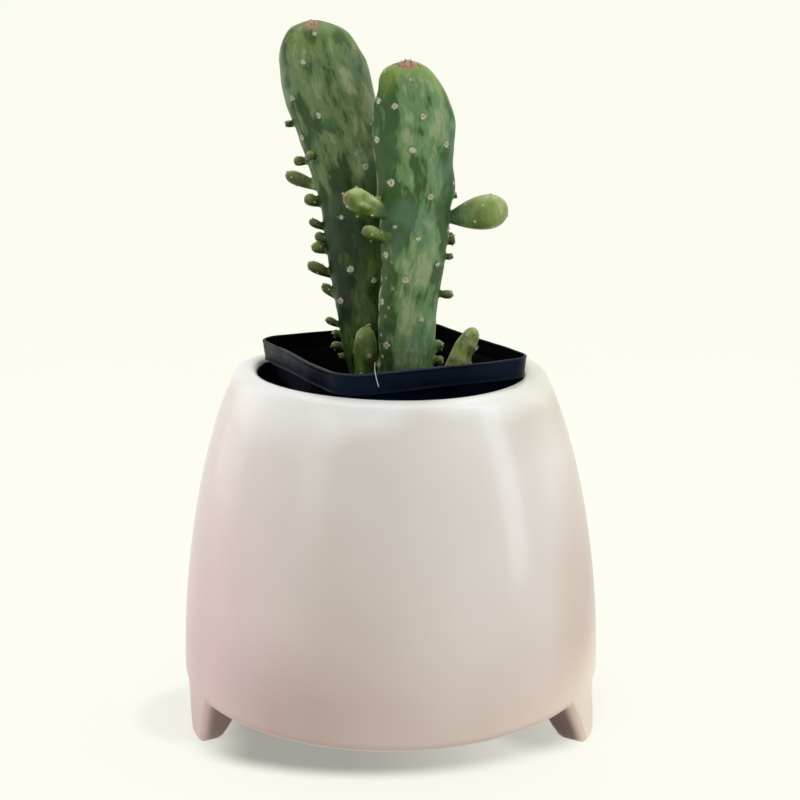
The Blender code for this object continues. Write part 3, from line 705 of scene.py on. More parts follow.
def shell_columns(lathe, angles):
    """Section of the shell at each angle, and the share of painted shade at its points."""
    outlines = [leg_outline(leg) for leg in LEGS]
    columns, painted_shade = [], []
    for angle in angles:
        offsets = [degrees_apart(angle, leg[0]) for leg in LEGS]
        nearest = int(np.argmin(np.abs(offsets)))
        fine, heights, slopes = outlines[nearest]
        offset = np.radians(offsets[nearest]) * LEG_OUTER_RADIUS
        edge = np.interp(offset, fine, heights, left=PLANTER_UNDERSIDE, right=PLANTER_UNDERSIDE)
        slope = np.interp(offset, fine, slopes, left=0, right=0)
        lower, depth = lower_column(edge, slope, LEGS[nearest][3] * MM)
        columns.append(np.concatenate([lathe, lower]))
        painted_shade.append(np.concatenate([0 * lathe[:, 0], depth]))
    return np.array(columns), np.array(painted_shade)


def glazed_stoneware(settings):
    """Slip-cast stoneware with a sprayed satin glaze: white at the lip and blushing pink lower down,
    with painted light and shade over it.
    """
    material, tree, shader = new_material("Satin glazed stoneware, sprayed", {
        "Roughness": 0.3, "IOR": 1.5, "Coat Weight": 0.35, "Coat Roughness": 0.12, "Coat IOR": 1.5,
    })
    place = add_node(tree, "TexCoord").outputs["Object"]
    x, _, z = add_node(tree, "SeparateXYZ", {"Vector": place}).outputs
    # The spray fades unevenly, in clouds the width of a hand
    cloud = add_node(tree, "TexNoise", {"Vector": place, "Scale": repeats(70)})
    spread = add_node(tree, "MapRange", {
        "Value": cloud, "From Min": 0.3, "From Max": 0.7, "To Min": -14 * MM, "To Max": 14 * MM,
    })
    height = add_node(tree, "Math", {0: z, 1: spread}, operation="ADD")
    level = add_node(tree, "MapRange", {"Value": height, "From Max": PLANTER_TOP})
    body = add_node(tree, "ValToRGB", {"Fac": level}, stops=[
        (0.0, settings.blush), (0.24, settings.blush), (0.55, settings.warm), (0.94, settings.pale),
        (1.0, settings.lip),
    ])
    # The blush lies heavier on the left side, where the spray was held longer. The right of the
    # shoulder is darkened towards cream as painted shade, and the lower right is lightened as painted light.
    # Each area fades in across and then upwards, from a place to a place and from a share to a share
    areas = []
    for fades in (
        ((x, -30 * MM, -PLANTER_RADIUS, 0.0, 0.85), (height, 150 * MM, 50 * MM, 0.25, 1.0)),
        ((x, 30 * MM, 75 * MM, 0.0, 1.0), (z, 122 * MM, 150 * MM, 0.0, 1.0)),
        ((x, 28 * MM, 86 * MM, 0.0, 1.0), (z, 52 * MM, 22 * MM, 0.0, 1.0)),
    ):
        across, up = (add_node(tree, "MapRange", {
            "Value": value, "From Min": start, "From Max": end, "To Min": least, "To Max": most,
        }, interpolation_type="SMOOTHSTEP") for value, start, end, least, most in fades)
        areas.append(add_node(tree, "Math", {0: across, 1: up}, operation="MULTIPLY"))
    # shoulder darkens the right of the shoulder as painted shade, and the low right's cream is painted light
    side_blush, shoulder, painted_light_low_right = areas
    # Painted light and shade across the wall: lighter either side of the middle, a little darker in the
    # middle, and darker at both edges, tan at the right
    round_wall = add_node(tree, "MapRange", {
        "Value": x, "From Min": -PLANTER_RADIUS, "From Max": PLANTER_RADIUS,
    })
    painted_light_upper = add_node(tree, "ValToRGB", {"Fac": round_wall}, stops=[
        (0.0, "#E0D8DC"), (0.04, "#F0EAEE"), (0.12, "#FDFAFF"), (0.22, "#FCFAFE"), (0.375, "#F4F2F2"),
        (0.5, "#F5F4F4"), (0.65, "#FFFFFF"), (0.85, "#FFFFFF"), (0.93, "#EADFD7"), (1.0, "#C6B2A7"),
    ])
    # Low down the painted shade lies at the left edge and left of the middle, a little at the right edge,
    # and the right of the middle stays light
    painted_light_lower = add_node(tree, "ValToRGB", {"Fac": round_wall}, stops=[
        (0.0, "#D8CFCE"), (0.1, "#F4EFF2"), (0.24, "#E6DEE3"), (0.34, "#E6DFE1"), (0.46, "#F2EFF1"),
        (0.65, "#FFFFFF"), (0.84, "#FFFFFF"), (0.94, "#F1E6DD"), (1.0, "#F6ECE3"),
    ])
    lowest = add_node(tree, "MapRange", {
        "Value": z, "From Min": 75 * MM, "From Max": 30 * MM,
    }, interpolation_type="SMOOTHSTEP")
    painted_light_across = add_node(tree, "Mix", {0: lowest, 6: painted_light_upper, 7: painted_light_lower}, data_type="RGBA")
    # Painted shade on the inner sides of the legs and on the underside, darker on the right
    painted_shade = add_node(tree, "Attribute", attribute_name="painted_shade").outputs["Fac"]
    painted_shade_ramp = add_node(tree, "ValToRGB", {"Fac": round_wall}, stops=[
        (0.5, settings.painted_shade_colour), (0.85, tuple(a * b for a, b in zip(settings.painted_shade_colour, (0.45, 0.34, 0.3)))),
    ])
    # Bare biscuit shows where the feet were wiped before firing
    foot = add_node(tree, "MapRange", {
        "Value": z, "From Min": 0.3 * MM, "From Max": 1.1 * MM, "To Min": 1.0, "To Max": 0.0,
    })
    colour = body
    for share, over, blend in (
        (side_blush, settings.side_blush, "MIX"), (1.0, painted_light_across, "MULTIPLY"),
        (shoulder, "#DCD8C8", "MULTIPLY"), (painted_light_low_right, "#E2CBBB", "MIX"), (painted_shade, painted_shade_ramp, "MIX"),
        (foot, "#8F7C6B", "MIX"),
    ):
        colour = add_node(tree, "Mix", {0: share, 6: colour, 7: over}, data_type="RGBA", blend_type=blend)
    # Orange peel of the sprayed glaze, 2.5 mm across
    peel = add_node(tree, "TexNoise", {"Vector": place, "Scale": repeats(2.5)})
    bump = add_node(tree, "Bump", {"Height": peel, "Strength": 0.05, "Distance": 0.2 * MM})
    plug(tree, shader, {"Base Color": colour, "Normal": bump})
    return material


def inside_shade_stoneware(settings):
    """Stoneware of the planter's inside: matt and near black as painted shade, mottled in patches a thumb
    wide.
    """
    return mottled(
        "Stoneware inside, painted shade", {"Roughness": 0.85, "IOR": 1.5}, {"Scale": repeats(18), "Detail": 4.0},
        [(0.35, tuple(0.5 * value for value in settings.dark_tone)), (0.7, settings.dark_tone)],
    )


class PlanterSettings(bpy.types.PropertyGroup):
    wall: length_setting("Wall", "Thickness of the fired wall", 6.3)
    lip: colour_setting("Lip", "Glaze on the lip", "#FAF9F4")
    pale: colour_setting("Upper wall", "Glaze just below the lip", "#E7E0D8")
    warm: colour_setting("Middle", "Glaze half way down", "#DCD1C9")
    blush: colour_setting("Foot", "Glaze on the lowest wall and the legs", "#D1BEB5")
    side_blush: colour_setting("Left side", "Heavier blush on the left side", "#E6C3C7")
    # Colour of the painted shade on the legs' inner sides and the underside
    painted_shade_colour: colour_setting("Thin glaze", "Inner sides of the legs and underside", "#876A62")
    # Near-black colour of the planter's inside: painted shade
    dark_tone: colour_setting("Inside", "Bare damp clay inside", "#1C1917")


class PEAR_OT_planter(bpy.types.Operator):
    """Glazed planter on three legs, in place of its plain solid"""

    bl_idname = "pear.planter"
    bl_label = "Planter"

    def execute(self, context):
        settings = context.scene.pear.planter
        lathe = lathe_points(planter_profile(settings.wall))
        angles = column_angles()
        columns, painted_shade = shell_columns(lathe, angles)
        turns = np.radians(angles)[:, None]
        rings = np.stack([
            columns[:, :, 0] * np.cos(turns), columns[:, :, 0] * np.sin(turns), columns[:, :, 1]
        ], -1).transpose(1, 0, 2)
        points, faces = closed_tube(
            rings, (0, 0, PLANTER_UNDERSIDE + FLOOR_THICKNESS), (0, 0, PLANTER_UNDERSIDE)
        )
        mesh = make_mesh("planter_shell", slumped(points), faces)
        # The two poles come last: the inner floor's, and the underside's
        # Each point's share of painted shade, for the glaze's colour
        painted_shade = np.append(painted_shade.T.ravel(), (0, 1))
        mesh.attributes.new("painted_shade", "FLOAT", "POINT").data.foreach_set("value", painted_shade)
        # A little way down inside the lip, the inside takes the near-black painted shade
        shaded_rows = int(np.argmax(lathe[:, 1] > PLANTER_TOP - INNER_SHADE_DEPTH))
        finishes = np.zeros(len(faces), dtype=int)
        finishes[:shaded_rows * len(angles)] = 1
        finishes[-2 * len(angles):-len(angles)] = 1
        materials = [glazed_stoneware(settings), inside_shade_stoneware(settings)]
        piece = add_piece("planter_shell", mesh, materials, finishes)
        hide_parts("planter")
        return {"FINISHED"}


# Nursery pot


def square_ring(side, shrink, count):
    """Evenly spaced points and outward directions of the pot's rounded square, drawn in by a distance."""
    corners = np.maximum(POT_CORNERS - shrink, 0.8 * MM)
    half = side / 2
    path = []
    for quarter, corner in enumerate(corners):
        start = quarter * np.pi / 2
        for turn in np.linspace(0, np.pi / 2, CORNER_POINTS):
            x, y = half - corner + corner * np.cos(turn), half - corner + corner * np.sin(turn)
            path.append((*turned(x, y, start), np.cos(turn + start), np.sin(turn + start)))
    path = np.array(path + path[:1])
    along = distances(path[:, :2])
    ring, facing = np.split(points_at(np.linspace(0, along[-1], count, endpoint=False), along, path), 2, 1)
    cos, sin = np.cos(POT_TURN), np.sin(POT_TURN)
    as_it_sits = np.array([[cos, sin], [-sin, cos]])
    return ring @ as_it_sits, unit(facing) @ as_it_sits


def pot_body_side(height):
    """Outer side length of the nursery pot's body at a height."""
    foot = POT_FOOT + POT_FOOT_CHAMFER
    share = (height - foot) / (COLLAR_BOTTOM - foot)
    return POT_FOOT_SIDE + (COLLAR_SIDE - 2 * COLLAR_STEP - POT_FOOT_SIDE) * share


def pierced(piece, cutters):
    """Takes the cutters' shapes out of a piece's mesh."""
    points, faces, _ = join_shapes(cutters)
    cutter = bpy.data.objects.new("cutter", make_mesh("cutter", points, faces))
    bpy.context.scene.collection.objects.link(cutter)
    cut = piece.modifiers.new("cut", "BOOLEAN")
    cut.operation, cut.solver, cut.object = "DIFFERENCE", "EXACT", cutter
    mesh = evaluated_mesh(piece)
    piece.modifiers.clear()
    piece.data = mesh
    bpy.data.objects.remove(cutter)


def pot_section(wall, bead):
    """Section of the pot, from its underside over the rim and down inside, and its count of outer rows.

    A row holds the side length, how far the corners draw in, the height, and the wall's share of the
    buckling.
    """
    foot = POT_FOOT + POT_FOOT_CHAMFER
    section = [
        (POT_FOOT_SIDE - 2 * POT_FOOT_CHAMFER, 4 * MM, POT_FOOT, 0),
        (POT_FOOT_SIDE - POT_FOOT_CHAMFER, 3 * MM, POT_FOOT + 0.4 * POT_FOOT_CHAMFER, 0),
    ]
    for height in np.linspace(foot, COLLAR_BOTTOM - STEP_ROUND, BODY_ROWS):
        section.append((pot_body_side(height), COLLAR_STEP, height, ease(foot, COLLAR_BOTTOM, height)))
    body = pot_body_side(COLLAR_BOTTOM)
    section += [
        (body + 0.3 * MM, COLLAR_STEP, COLLAR_BOTTOM - 0.2 * MM, 1),
        (body + 2 * STEP_ROUND, 1.0 * MM, COLLAR_BOTTOM, 1),
        (COLLAR_SIDE - STEP_ROUND, 0.3 * MM, COLLAR_BOTTOM + 0.1 * MM, 1),
    ]
    lip = COLLAR_TOP - bead
    for height in np.linspace(COLLAR_BOTTOM + 0.5 * MM, lip - bead, 9):
        draft = COLLAR_DRAFT * (lip - height) / (lip - COLLAR_BOTTOM)
        section.append((COLLAR_SIDE - draft, 0, height, 1))
    centre = COLLAR_SIDE - 2 * bead + 0.4 * MM
    for turn in np.radians(np.linspace(-20, 200, 12)):
        reach = bead * np.cos(turn)
        section.append((centre + 2 * reach, -reach + bead / 2, lip + bead * np.sin(turn), 1))
    # The last four rows of the rolled rim already face inwards
    outer_rows = len(section) - 4
    for height in np.linspace(lip - bead, COLLAR_BOTTOM + wall + STEP_ROUND, 8):
        section.append((COLLAR_SIDE - 2 * wall, wall, height, 1))
    section.append((body - 2 * wall + 2 * STEP_ROUND, COLLAR_STEP, COLLAR_BOTTOM + wall, 1))
    for height in np.linspace(COLLAR_BOTTOM - STEP_ROUND, foot + wall, BODY_ROWS):
        sway = ease(foot, COLLAR_BOTTOM, height)
        section.append((pot_body_side(height) - 2 * wall, COLLAR_STEP + wall, height, sway))
    section.append((pot_body_side(foot) - 2 * wall - 3 * MM, 5 * MM, POT_FOOT + wall, 0))
    return section, outer_rows


def buckled(side, shrink, height, sway, wave):
    """Ring of the pot's thin wall, pushed in and out by its buckling, and tilted as the pot sits."""
    ring, facing = square_ring(side, shrink, POT_COLUMNS)
    spots = at_height(ring, height)
    angle = np.arctan2(ring[:, 1], ring[:, 0])
    round_wall = np.stack([np.cos(angle) * 45 * MM, np.sin(angle) * 45 * MM, spots[:, 2]], -1)
    buckle = ripple(round_wall, (34 * MM, 34 * MM, 40 * MM), 5)
    dents = ripple(round_wall, (9 * MM, 9 * MM, 14 * MM), 6)
    push = wave * sway * (0.8 * buckle + 0.22 * dents)
    spots[:, :2] += facing * push[:, None]
    spots[:, 2] += 0.5 * wave * ripple(round_wall, (40 * MM, 40 * MM, 1.0), 7) * (
        ease(COLLAR_BOTTOM, COLLAR_TOP, height)
    )
    raised = POT_RAISED + spots[:, :2] @ POT_TILT
    spots[:, 2] += raised * ease(POT_FOOT + POT_FOOT_CHAMFER, COLLAR_BOTTOM, height)
    return spots


def drain_holes():
    """Shapes of the drainage holes: one in the middle of the floor and one towards each corner."""
    turns = circle(DRAIN_SIDES)
    hole = np.stack([DRAIN_RADIUS * np.cos(turns), DRAIN_RADIUS * np.sin(turns)], -1)
    places = [(0, 0)]
    for turn in POT_TURN + np.radians(45) + np.arange(4) * np.pi / 2:
        places.append((DRAIN_OFFSET * np.cos(turn), DRAIN_OFFSET * np.sin(turn)))
    ends = POT_FOOT - 2 * MM, POT_FOOT + 1.9 * MM
    return [(*closed_tube([at_height(hole + place, height) for height in ends]), 0) for place in places]


def black_polystyrene(settings):
    """Vacuum-formed black polystyrene: a thin, slightly blue gloss with fine handling scuffs."""
    material, tree, shader = new_material("Black polystyrene, vacuum formed", {
        "IOR": 1.55, "Specular IOR Level": 0.08, "Specular Tint": (0.5, 0.7, 1.0),
    })
    place = add_node(tree, "TexCoord").outputs["Object"]
    # Dust settles in soft patches a few centimetres wide
    patch = add_node(tree, "TexNoise", {
        "Vector": place, "Scale": repeats(26), "Detail": 4.0, "Roughness": 0.6,
    })
    dust = add_node(tree, "ValToRGB", {"Fac": patch}, stops=[(0.42, settings.plastic), (0.78, settings.dust)])
    # Painted highlight along the front of the rim's edge, and a pale patch on the left of the collar
    # that is partly wear and partly painted highlight
    level = add_node(tree, "VectorMath", {
        0: place, 1: (-POT_TILT[0], -POT_TILT[1], 1.0),
    }, operation="DOT_PRODUCT")
    rim = COLLAR_TOP + POT_RAISED
    edge = add_node(tree, "MapRange", {
        "Value": level, "From Min": rim - 0.8 * MM, "From Max": rim - 0.2 * MM, "To Max": 0.28,
    })
    y = add_node(tree, "SeparateXYZ", {"Vector": place}).outputs["Y"]
    front = add_node(tree, "MapRange", {"Value": y, "From Min": -12 * MM, "From Max": -34 * MM})
    edge_highlight = add_node(tree, "Math", {0: edge, 1: front}, operation="MULTIPLY")
    away = add_node(tree, "VectorMath", {0: place, 1: settings.highlight_and_wear_place}, operation="DISTANCE")
    near = add_node(tree, "MapRange", {
        "Value": away, "From Min": 9 * MM, "From Max": 26 * MM, "To Min": 0.16, "To Max": 0.0,
    }, interpolation_type="SMOOTHSTEP")
    highlight_and_wear_share = add_node(tree, "Math", {0: edge_highlight, 1: near}, operation="MAXIMUM")
    patchy = add_node(tree, "Math", {0: highlight_and_wear_share, 1: patch}, operation="MULTIPLY")
    highlight_and_wear = add_node(tree, "Mix", {0: patchy, 6: dust, 7: settings.highlight_and_wear}, data_type="RGBA")
    # Scuffs run round the wall, 1 mm high and 12 mm long, coarser than real ones so that they show
    run = add_node(tree, "Mapping", {"Vector": place, "Scale": (1.0, 1.0, 9.0)})
    scuff = add_node(tree, "TexNoise", {
        "Vector": run, "Scale": repeats(12), "Detail": 6.0, "Roughness": 0.7,
    })
    gloss = add_node(tree, "MapRange", {
        "Value": scuff, "From Min": 0.35, "From Max": 0.75, "To Min": 0.3, "To Max": 0.5,
    })
    bump = add_node(tree, "Bump", {"Height": scuff, "Strength": 0.15, "Distance": 0.3 * MM})
    plug(tree, shader, {"Base Color": highlight_and_wear, "Roughness": gloss, "Normal": bump})
    return material


def matt_polystyrene():
    """Inner face of the same sheet: dull, as it lay against no mould, with specks of peat dust 3 mm apart."""
    return mottled("Black polystyrene, matt inner face", {
        "Roughness": 0.8, "IOR": 1.55, "Specular IOR Level": 0.04,
    }, {"Scale": repeats(3), "Detail": 5.0, "Roughness": 0.7}, [(0.55, "#020305"), (0.8, "#14110F")])


class NurseryPotSettings(bpy.types.PropertyGroup):
    wall: length_setting("Wall", "Thickness of the thin wall", 0.9)
    bead: length_setting("Rim bead", "Radius of the rolled rim", 0.65)
    wave: length_setting("Wave", "How far the thin wall buckles in and out", 0.55)
    plastic: colour_setting("Plastic", "Clean plastic", "#050B17")
    dust: colour_setting("Dust", "Dusty patches on the plastic", "#0E172B")
    # Pale colour of the rim edge's painted highlight and of the collar patch, partly wear and partly painted
    # highlight
    highlight_and_wear: colour_setting("Rubbed plastic", "Plastic rubbed pale by handling", "#7C7F86")
    highlight_and_wear_place: FloatVectorProperty(
        name="Rubbed place", description="Where the collar is rubbed most", subtype="TRANSLATION",
        unit="LENGTH", default=(-44 * MM, -18 * MM, 158 * MM),
    )


class PEAR_OT_nursery_pot(bpy.types.Operator):
    """Thin square nursery pot with a stepped collar and rolled rim, in place of its plain solid"""

    bl_idname = "pear.nursery_pot"
    bl_label = "Nursery pot"

    def execute(self, context):
        settings = context.scene.pear.nursery_pot
        section, outer_rows = pot_section(settings.wall, settings.bead)
        rings = [buckled(*row, settings.wave) for row in section]
        points, faces = closed_tube(rings, (0, 0, POT_FOOT), (0, 0, POT_FOOT + settings.wall))
        mesh = make_mesh("nursery_pot_wall", points, faces, sharp=48)
        finishes = np.ones(len(faces), dtype=int)
        finishes[:outer_rows * POT_COLUMNS] = 0
        finishes[-2 * POT_COLUMNS:-POT_COLUMNS] = 0
        materials = [black_polystyrene(settings), matt_polystyrene()]
        piece = add_piece("nursery_pot_wall", mesh, materials, finishes)
        pierced(piece, drain_holes())
        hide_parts("nursery_pot")
        return {"FINISHED"}


# Soil


def soil_height(x, y):
    """Low uneven surface of the soil, a little higher towards the middle."""
    across = 2 * np.pi * x / SOIL_WAVE
    along = 2 * np.pi * y / SOIL_WAVE
    waves = np.sin(across + 1.3) * np.cos(0.9 * along - 0.4) + 0.5 * np.sin(1.8 * across - 1.4 * along)
    mound = 1 - (x * x + y * y) / (COLLAR_SIDE / 2) ** 2
    return SOIL_TOP + SOIL_RELIEF * (0.6 * waves + mound)


def crumb_shapes(base, count, smallest, largest, flatness, finish, seed):
    """Lumps strewn over the soil, each part sunk in it."""
    draw = np.random.default_rng(seed)
    ball, faces = base
    inner_side = pot_body_side(SOIL_TOP) - 4.5 * MM
    shapes = []
    for number in range(count):
        x, y = turned(*draw.uniform(-0.5, 0.5, 2) * (inner_side - largest), POT_TURN)
        size = smallest + (largest - smallest) * draw.random() ** 3
        relief = 1 + 0.28 * ripple(ball + number, 1.1, seed + number, 6)
        stretch = draw.uniform(0.65, 1.25, 3) * (1, 1, flatness)
        turn = draw.uniform(0, 2 * np.pi)
        spin = np.array([[np.cos(turn), -np.sin(turn), 0], [np.sin(turn), np.cos(turn), 0], [0, 0, 1]])
        points = (ball * relief[:, None] * stretch * size / 2) @ spin
        place = np.array([x, y, soil_height(x, y) + size * flatness * 0.18])
        shapes.append((points + place, faces, finish))
    return shapes


def soil_rings():
    """Rings of the bed: up the pot's inside, and then inwards over its rough top."""
    wall = 1.0 * MM + SOIL_GAP
    floor = POT_FOOT + wall
    rings = []
    for height in (floor, floor + POT_FOOT_CHAMFER, *np.linspace(floor + 8 * MM, SOIL_TOP - 3 * MM, 6)):
        side = pot_body_side(max(height - 1.0 * MM, POT_FOOT + POT_FOOT_CHAMFER)) - 2 * wall
        side -= 2 * POT_FOOT_CHAMFER * (height == floor)
        ring, _ = square_ring(side - 0.6 * MM, COLLAR_STEP + wall, SOIL_COLUMNS)
        rings.append(at_height(ring, height))
    top_side = pot_body_side(SOIL_TOP - 1.0 * MM) - 2 * wall - 0.6 * MM
    for share in np.linspace(1, 0.03, SOIL_TOP_RINGS):
        ring, _ = square_ring(top_side * share, COLLAR_STEP + wall + 8 * MM * (1 - share), SOIL_COLUMNS)
        spots = at_height(ring, 0)
        rough = 0.45 * ripple(spots, 9 * MM, 21) + 0.35 * ripple(spots, 3.6 * MM, 22)
        rough += 0.2 * ripple(spots, 1.6 * MM, 23)
        # The outermost ring lies lowest, against the wall
        spots[:, 2] = soil_height(*ring.T) + 1.1 * MM * rough - 1.2 * MM * (share > 0.995)
        rings.append(spots)
    return rings


def potting_mix(settings):
    """Damp peat and bark mix: dark, matt and crumbly over 2.2 mm, with paler dry fibres."""
    return mottled(
        "Potting mix, peat and bark", {"Roughness": 0.94, "IOR": 1.45, "Specular IOR Level": 0.25},
        {"Scale": repeats(2.2), "Detail": 7.0, "Roughness": 0.65},
        [(0.32, settings.dark_tone), (0.52, settings.crumb), (0.72, settings.fibre)],
        {"Strength": 0.7, "Distance": 0.6 * MM},
    )


def perlite(settings):
    """Expanded perlite: chalky white grains, with pits 0.7 mm across where the gas escaped."""
    return mottled(
        "Perlite, expanded", {"Roughness": 0.85, "IOR": 1.5}, {"Scale": repeats(0.7), "Detail": 4.0},
        [(0.35, "#A9A296"), (0.6, settings.perlite)], {"Strength": 0.5, "Distance": 0.3 * MM},
    )


class SoilSettings(bpy.types.PropertyGroup):
    crumbs: IntProperty(name="Crumbs", description="Loose crumbs on the soil", min=0, default=520)
    grains: IntProperty(name="Perlite", description="White perlite grains on the soil", min=0, default=46)
    dark_tone: colour_setting("Damp", "Damp peat between the crumbs", "#1B130D")
    crumb: colour_setting("Crumb", "Peat crumbs", "#3A2A1E")
    fibre: colour_setting("Fibre", "Dry fibre and bark", "#6A523C")
    perlite: colour_setting("Perlite", "Perlite grains", "#E4DFD3")


class PEAR_OT_soil(bpy.types.Operator):
    """Bed of potting mix with loose crumbs and perlite, in place of its plain solid"""

    bl_idname = "pear.soil"
    bl_label = "Soil"

    def execute(self, context):
        settings = context.scene.pear.soil
        mix = potting_mix(settings)
        points, faces = closed_tube(soil_rings(), None, (0, 0, soil_height(0, 0)))
        bed = add_piece("soil_bed", make_mesh("soil_bed", points, faces), [mix])
        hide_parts("soil")
        # Common crumbs, flat bark and perlite
        ball = lump(2)
        shapes = crumb_shapes(ball, settings.crumbs, 1.0 * MM, 5.2 * MM, 0.7, 0, 31)
        shapes += crumb_shapes(ball, BARK_PIECES, 3.0 * MM, 8.0 * MM, 0.28, 0, 2031)
        shapes += crumb_shapes(ball, settings.grains, 1.2 * MM, 3.4 * MM, 0.85, 1, 4031)
        points, faces, finishes = join_shapes(shapes)
        mesh = make_mesh("soil_crumbs", points, faces, sharp=60)
        add_piece("soil_crumbs", mesh, [mix, perlite(settings)], finishes)
        return {"FINISHED"}


# Stems


def stem_rows(name):
    """Drops from the tip, sideways places and half widths of a stem, in metres."""
    heights, places, widths = np.array(STEMS[name][0]).T * MM
    return heights[0], heights[0] - heights, places, widths


def smooth(at, knots, values):
    """Smooth curve through values at knots, without overshoot."""
    steps = np.diff(knots)
    slopes = np.diff(values) / steps
    tangents = np.concatenate([[slopes[0]], np.zeros(len(slopes) - 1), [slopes[-1]]])
    same = slopes[:-1] * slopes[1:] > 0
    mean = 2 * slopes[:-1] * slopes[1:] / np.where(same, slopes[:-1] + slopes[1:], 1)
    tangents[1:-1] = np.where(same, mean, 0)
    i = np.clip(np.searchsorted(knots, at) - 1, 0, len(steps) - 1)
    t = np.clip((at - knots[i]) / steps[i], 0, 1)
    value = values[i] * (1 + 2 * t) * (1 - t) ** 2 + values[i + 1] * t * t * (3 - 2 * t)
    return value + steps[i] * t * (1 - t) * (tangents[i] * (1 - t) - tangents[i + 1] * t)


def stem_section(name, heights):
    """Sideways place, half width and half thickness of a stem at heights."""
    tip, drops, places, widths = stem_rows(name)
    tip_ratio, base_ratio = STEMS[name][3:]
    knots = np.sqrt(drops)
    at = np.sqrt(np.clip(tip - heights, 0, None))
    width = smooth(at, knots, widths)
    ratio = tip_ratio + (base_ratio - tip_ratio) * at / knots[-1]
    return smooth(at, knots, places), width, width * ratio


def bare_stem(name, heights, angles):
    """Points of a stem's smooth surface, before its areoles swell it."""
    depth, turn = STEMS[name][1:3]
    place, width, thickness = stem_section(name, heights)
    x = width * np.sign(np.cos(angles)) * np.abs(np.cos(angles)) ** (2 / SECTION_POWER)
    y = thickness * np.sign(np.sin(angles)) * np.abs(np.sin(angles)) ** (2 / SECTION_POWER)
    cos, sin = np.cos(turn), np.sin(turn)
    return np.stack([place + x * cos - y * sin, depth + x * sin + y * cos, heights + 0 * x], -1)


def outward(name, height, angle):
    """Outward direction of a stem's smooth surface at a height and an angle round it."""
    step = 0.4 * MM
    around = bare_stem(name, height, angle + 0.02) - bare_stem(name, height, angle - 0.02)
    along = bare_stem(name, height + step, angle) - bare_stem(name, height - step, angle)
    return unit(np.cross(around, along))


def angle_across(name, height, across, front):
    """Angle round a stem at which its front or back lies at a share of its half width."""
    angles = np.radians(np.arange(0, 360, 0.5))
    points = bare_stem(name, height, angles)
    x = points[:, 0]
    target = (x.max() + x.min()) / 2 + across * (x.max() - x.min()) / 2
    side = points[:, 1] - np.interp(x, [x.min(), x.max()], [points[x.argmin(), 1], points[x.argmax(), 1]])
    wrong_side = side > 0 if front else side < 0
    return angles[np.argmin(np.abs(x - target) + wrong_side)]


def front_point(name, height, across):
    """Point on a stem's front at a height in millimetres and a share of its half width."""
    return bare_stem(name, height * MM, angle_across(name, height * MM, across, True))


def stem_areoles(name):
    """Height, angle, size and kind of every areole: the front ones listed, the back ones by rule."""
    places = []
    for height, across, size, kind in AREOLES_FRONT[name]:
        places.append((height * MM, angle_across(name, height * MM, across, True), size, kind))
    draw = np.random.default_rng(SEED + len(name))
    height = stem_rows(name)[0] - 0.75 * BACK_ROW_SPACING
    row = 0
    while height > BACK_LOWEST:
        across = BACK_AREOLES_ACROSS[row % 2::2] if name in TALL else (0.3 - 0.6 * (row % 2),)
        for column, place in enumerate(across):
            level = height + draw.uniform(-0.12, 0.12) * BACK_ROW_SPACING
            share = place + draw.uniform(-0.06, 0.06)
            kind = ("ring", "pad", "bud", "pad")[(row + 2 * column) % 4]
            size = 1.15 if name in TALL else 0.85
            places.append((level, angle_across(name, level, share, False), size, kind))
        height -= BACK_ROW_SPACING
        row += 1
    return places


def stem_shoots(name):
    """Root, reach, thickness, neck and freshness of the shoots on a stem's edges and front."""
    edges = {"stem_left": (SHOOTS_LEFT_EDGE, -1), "stem_right": (SHOOTS_RIGHT_EDGE, 1)}
    rows, side = edges.get(name, ([], 1))
    draw = np.random.default_rng(SEED)
    shoots = []
    for height, place, tip_height, thickness, fresh in rows:
        root = front_point(name, height, side)
        reach = np.array([place * MM - root[0], 0, tip_height * MM - root[2]])
        reach[1] = SHOOT_SWING * draw.uniform(-1, 1) * np.linalg.norm(reach)
        neck = WIDE_SHOOT_NECK if thickness * MM > WIDE_SHOOT else SHOOT_NECK
        shoots.append((root, reach, thickness * MM, neck, fresh))
    for height, across, tip, thickness, fresh in SHOOTS_FRONT[name]:
        root = front_point(name, height, across)
        shoots.append((root, np.array(tip) * MM - root, thickness * MM, SHOOT_NECK, fresh))
    return shoots


def shoot_radius(share, thickness, neck):
    """Radius of a shoot at shares of its length."""
    swell = np.sin(np.pi / 2 * np.clip(share, 0, SHOOT_PEAK) / SHOOT_PEAK)
    dome = np.sqrt(1 - np.clip((share - SHOOT_PEAK) / (1 - SHOOT_PEAK), 0, 1) ** 2)
    return thickness / 2 * (neck + (1 - neck) * swell) * dome


def shoot_areoles(number, thickness):
    """Share of the length and turn of the small areoles that spiral up a shoot."""
    if thickness < 3.7 * MM:
        count, first = 4, 0.55
    elif thickness < RIBBED_SHOOT:
        count, first = 6, 0.45
    elif thickness < WIDE_SHOOT:
        count, first = 11, 0.25
    else:
        count, first = 13, 0.3
    turns = np.arange(count) * 2.4 + number * 1.1
    return list(zip(np.linspace(first, 0.97, count), turns % (2 * np.pi)))


def shoot_surface(number, root, reach, thickness, neck, shares, turns):
    """Points of a shoot's surface, ribbed from each areole towards the root when it is thick enough."""
    axis = unit(reach)
    side = unit(np.cross(axis, [0, 0, 1]))
    radius = shoot_radius(shares, thickness, neck)
    if RIBBED_SHOOT < thickness < WIDE_SHOOT:
        for share, turn in shoot_areoles(number, thickness):
            apart = (turns - turn + np.pi) % (2 * np.pi) - np.pi
            behind = share - shares
            rib = bell(behind, np.where(behind > 0, 0.4, 0.07))
            radius = radius + 0.13 * thickness * rib * bell(apart, 0.3) * (shares < 0.999)
    return root + reach * shares[..., None] + spokes(side, np.cross(side, axis), turns) * radius[..., None]


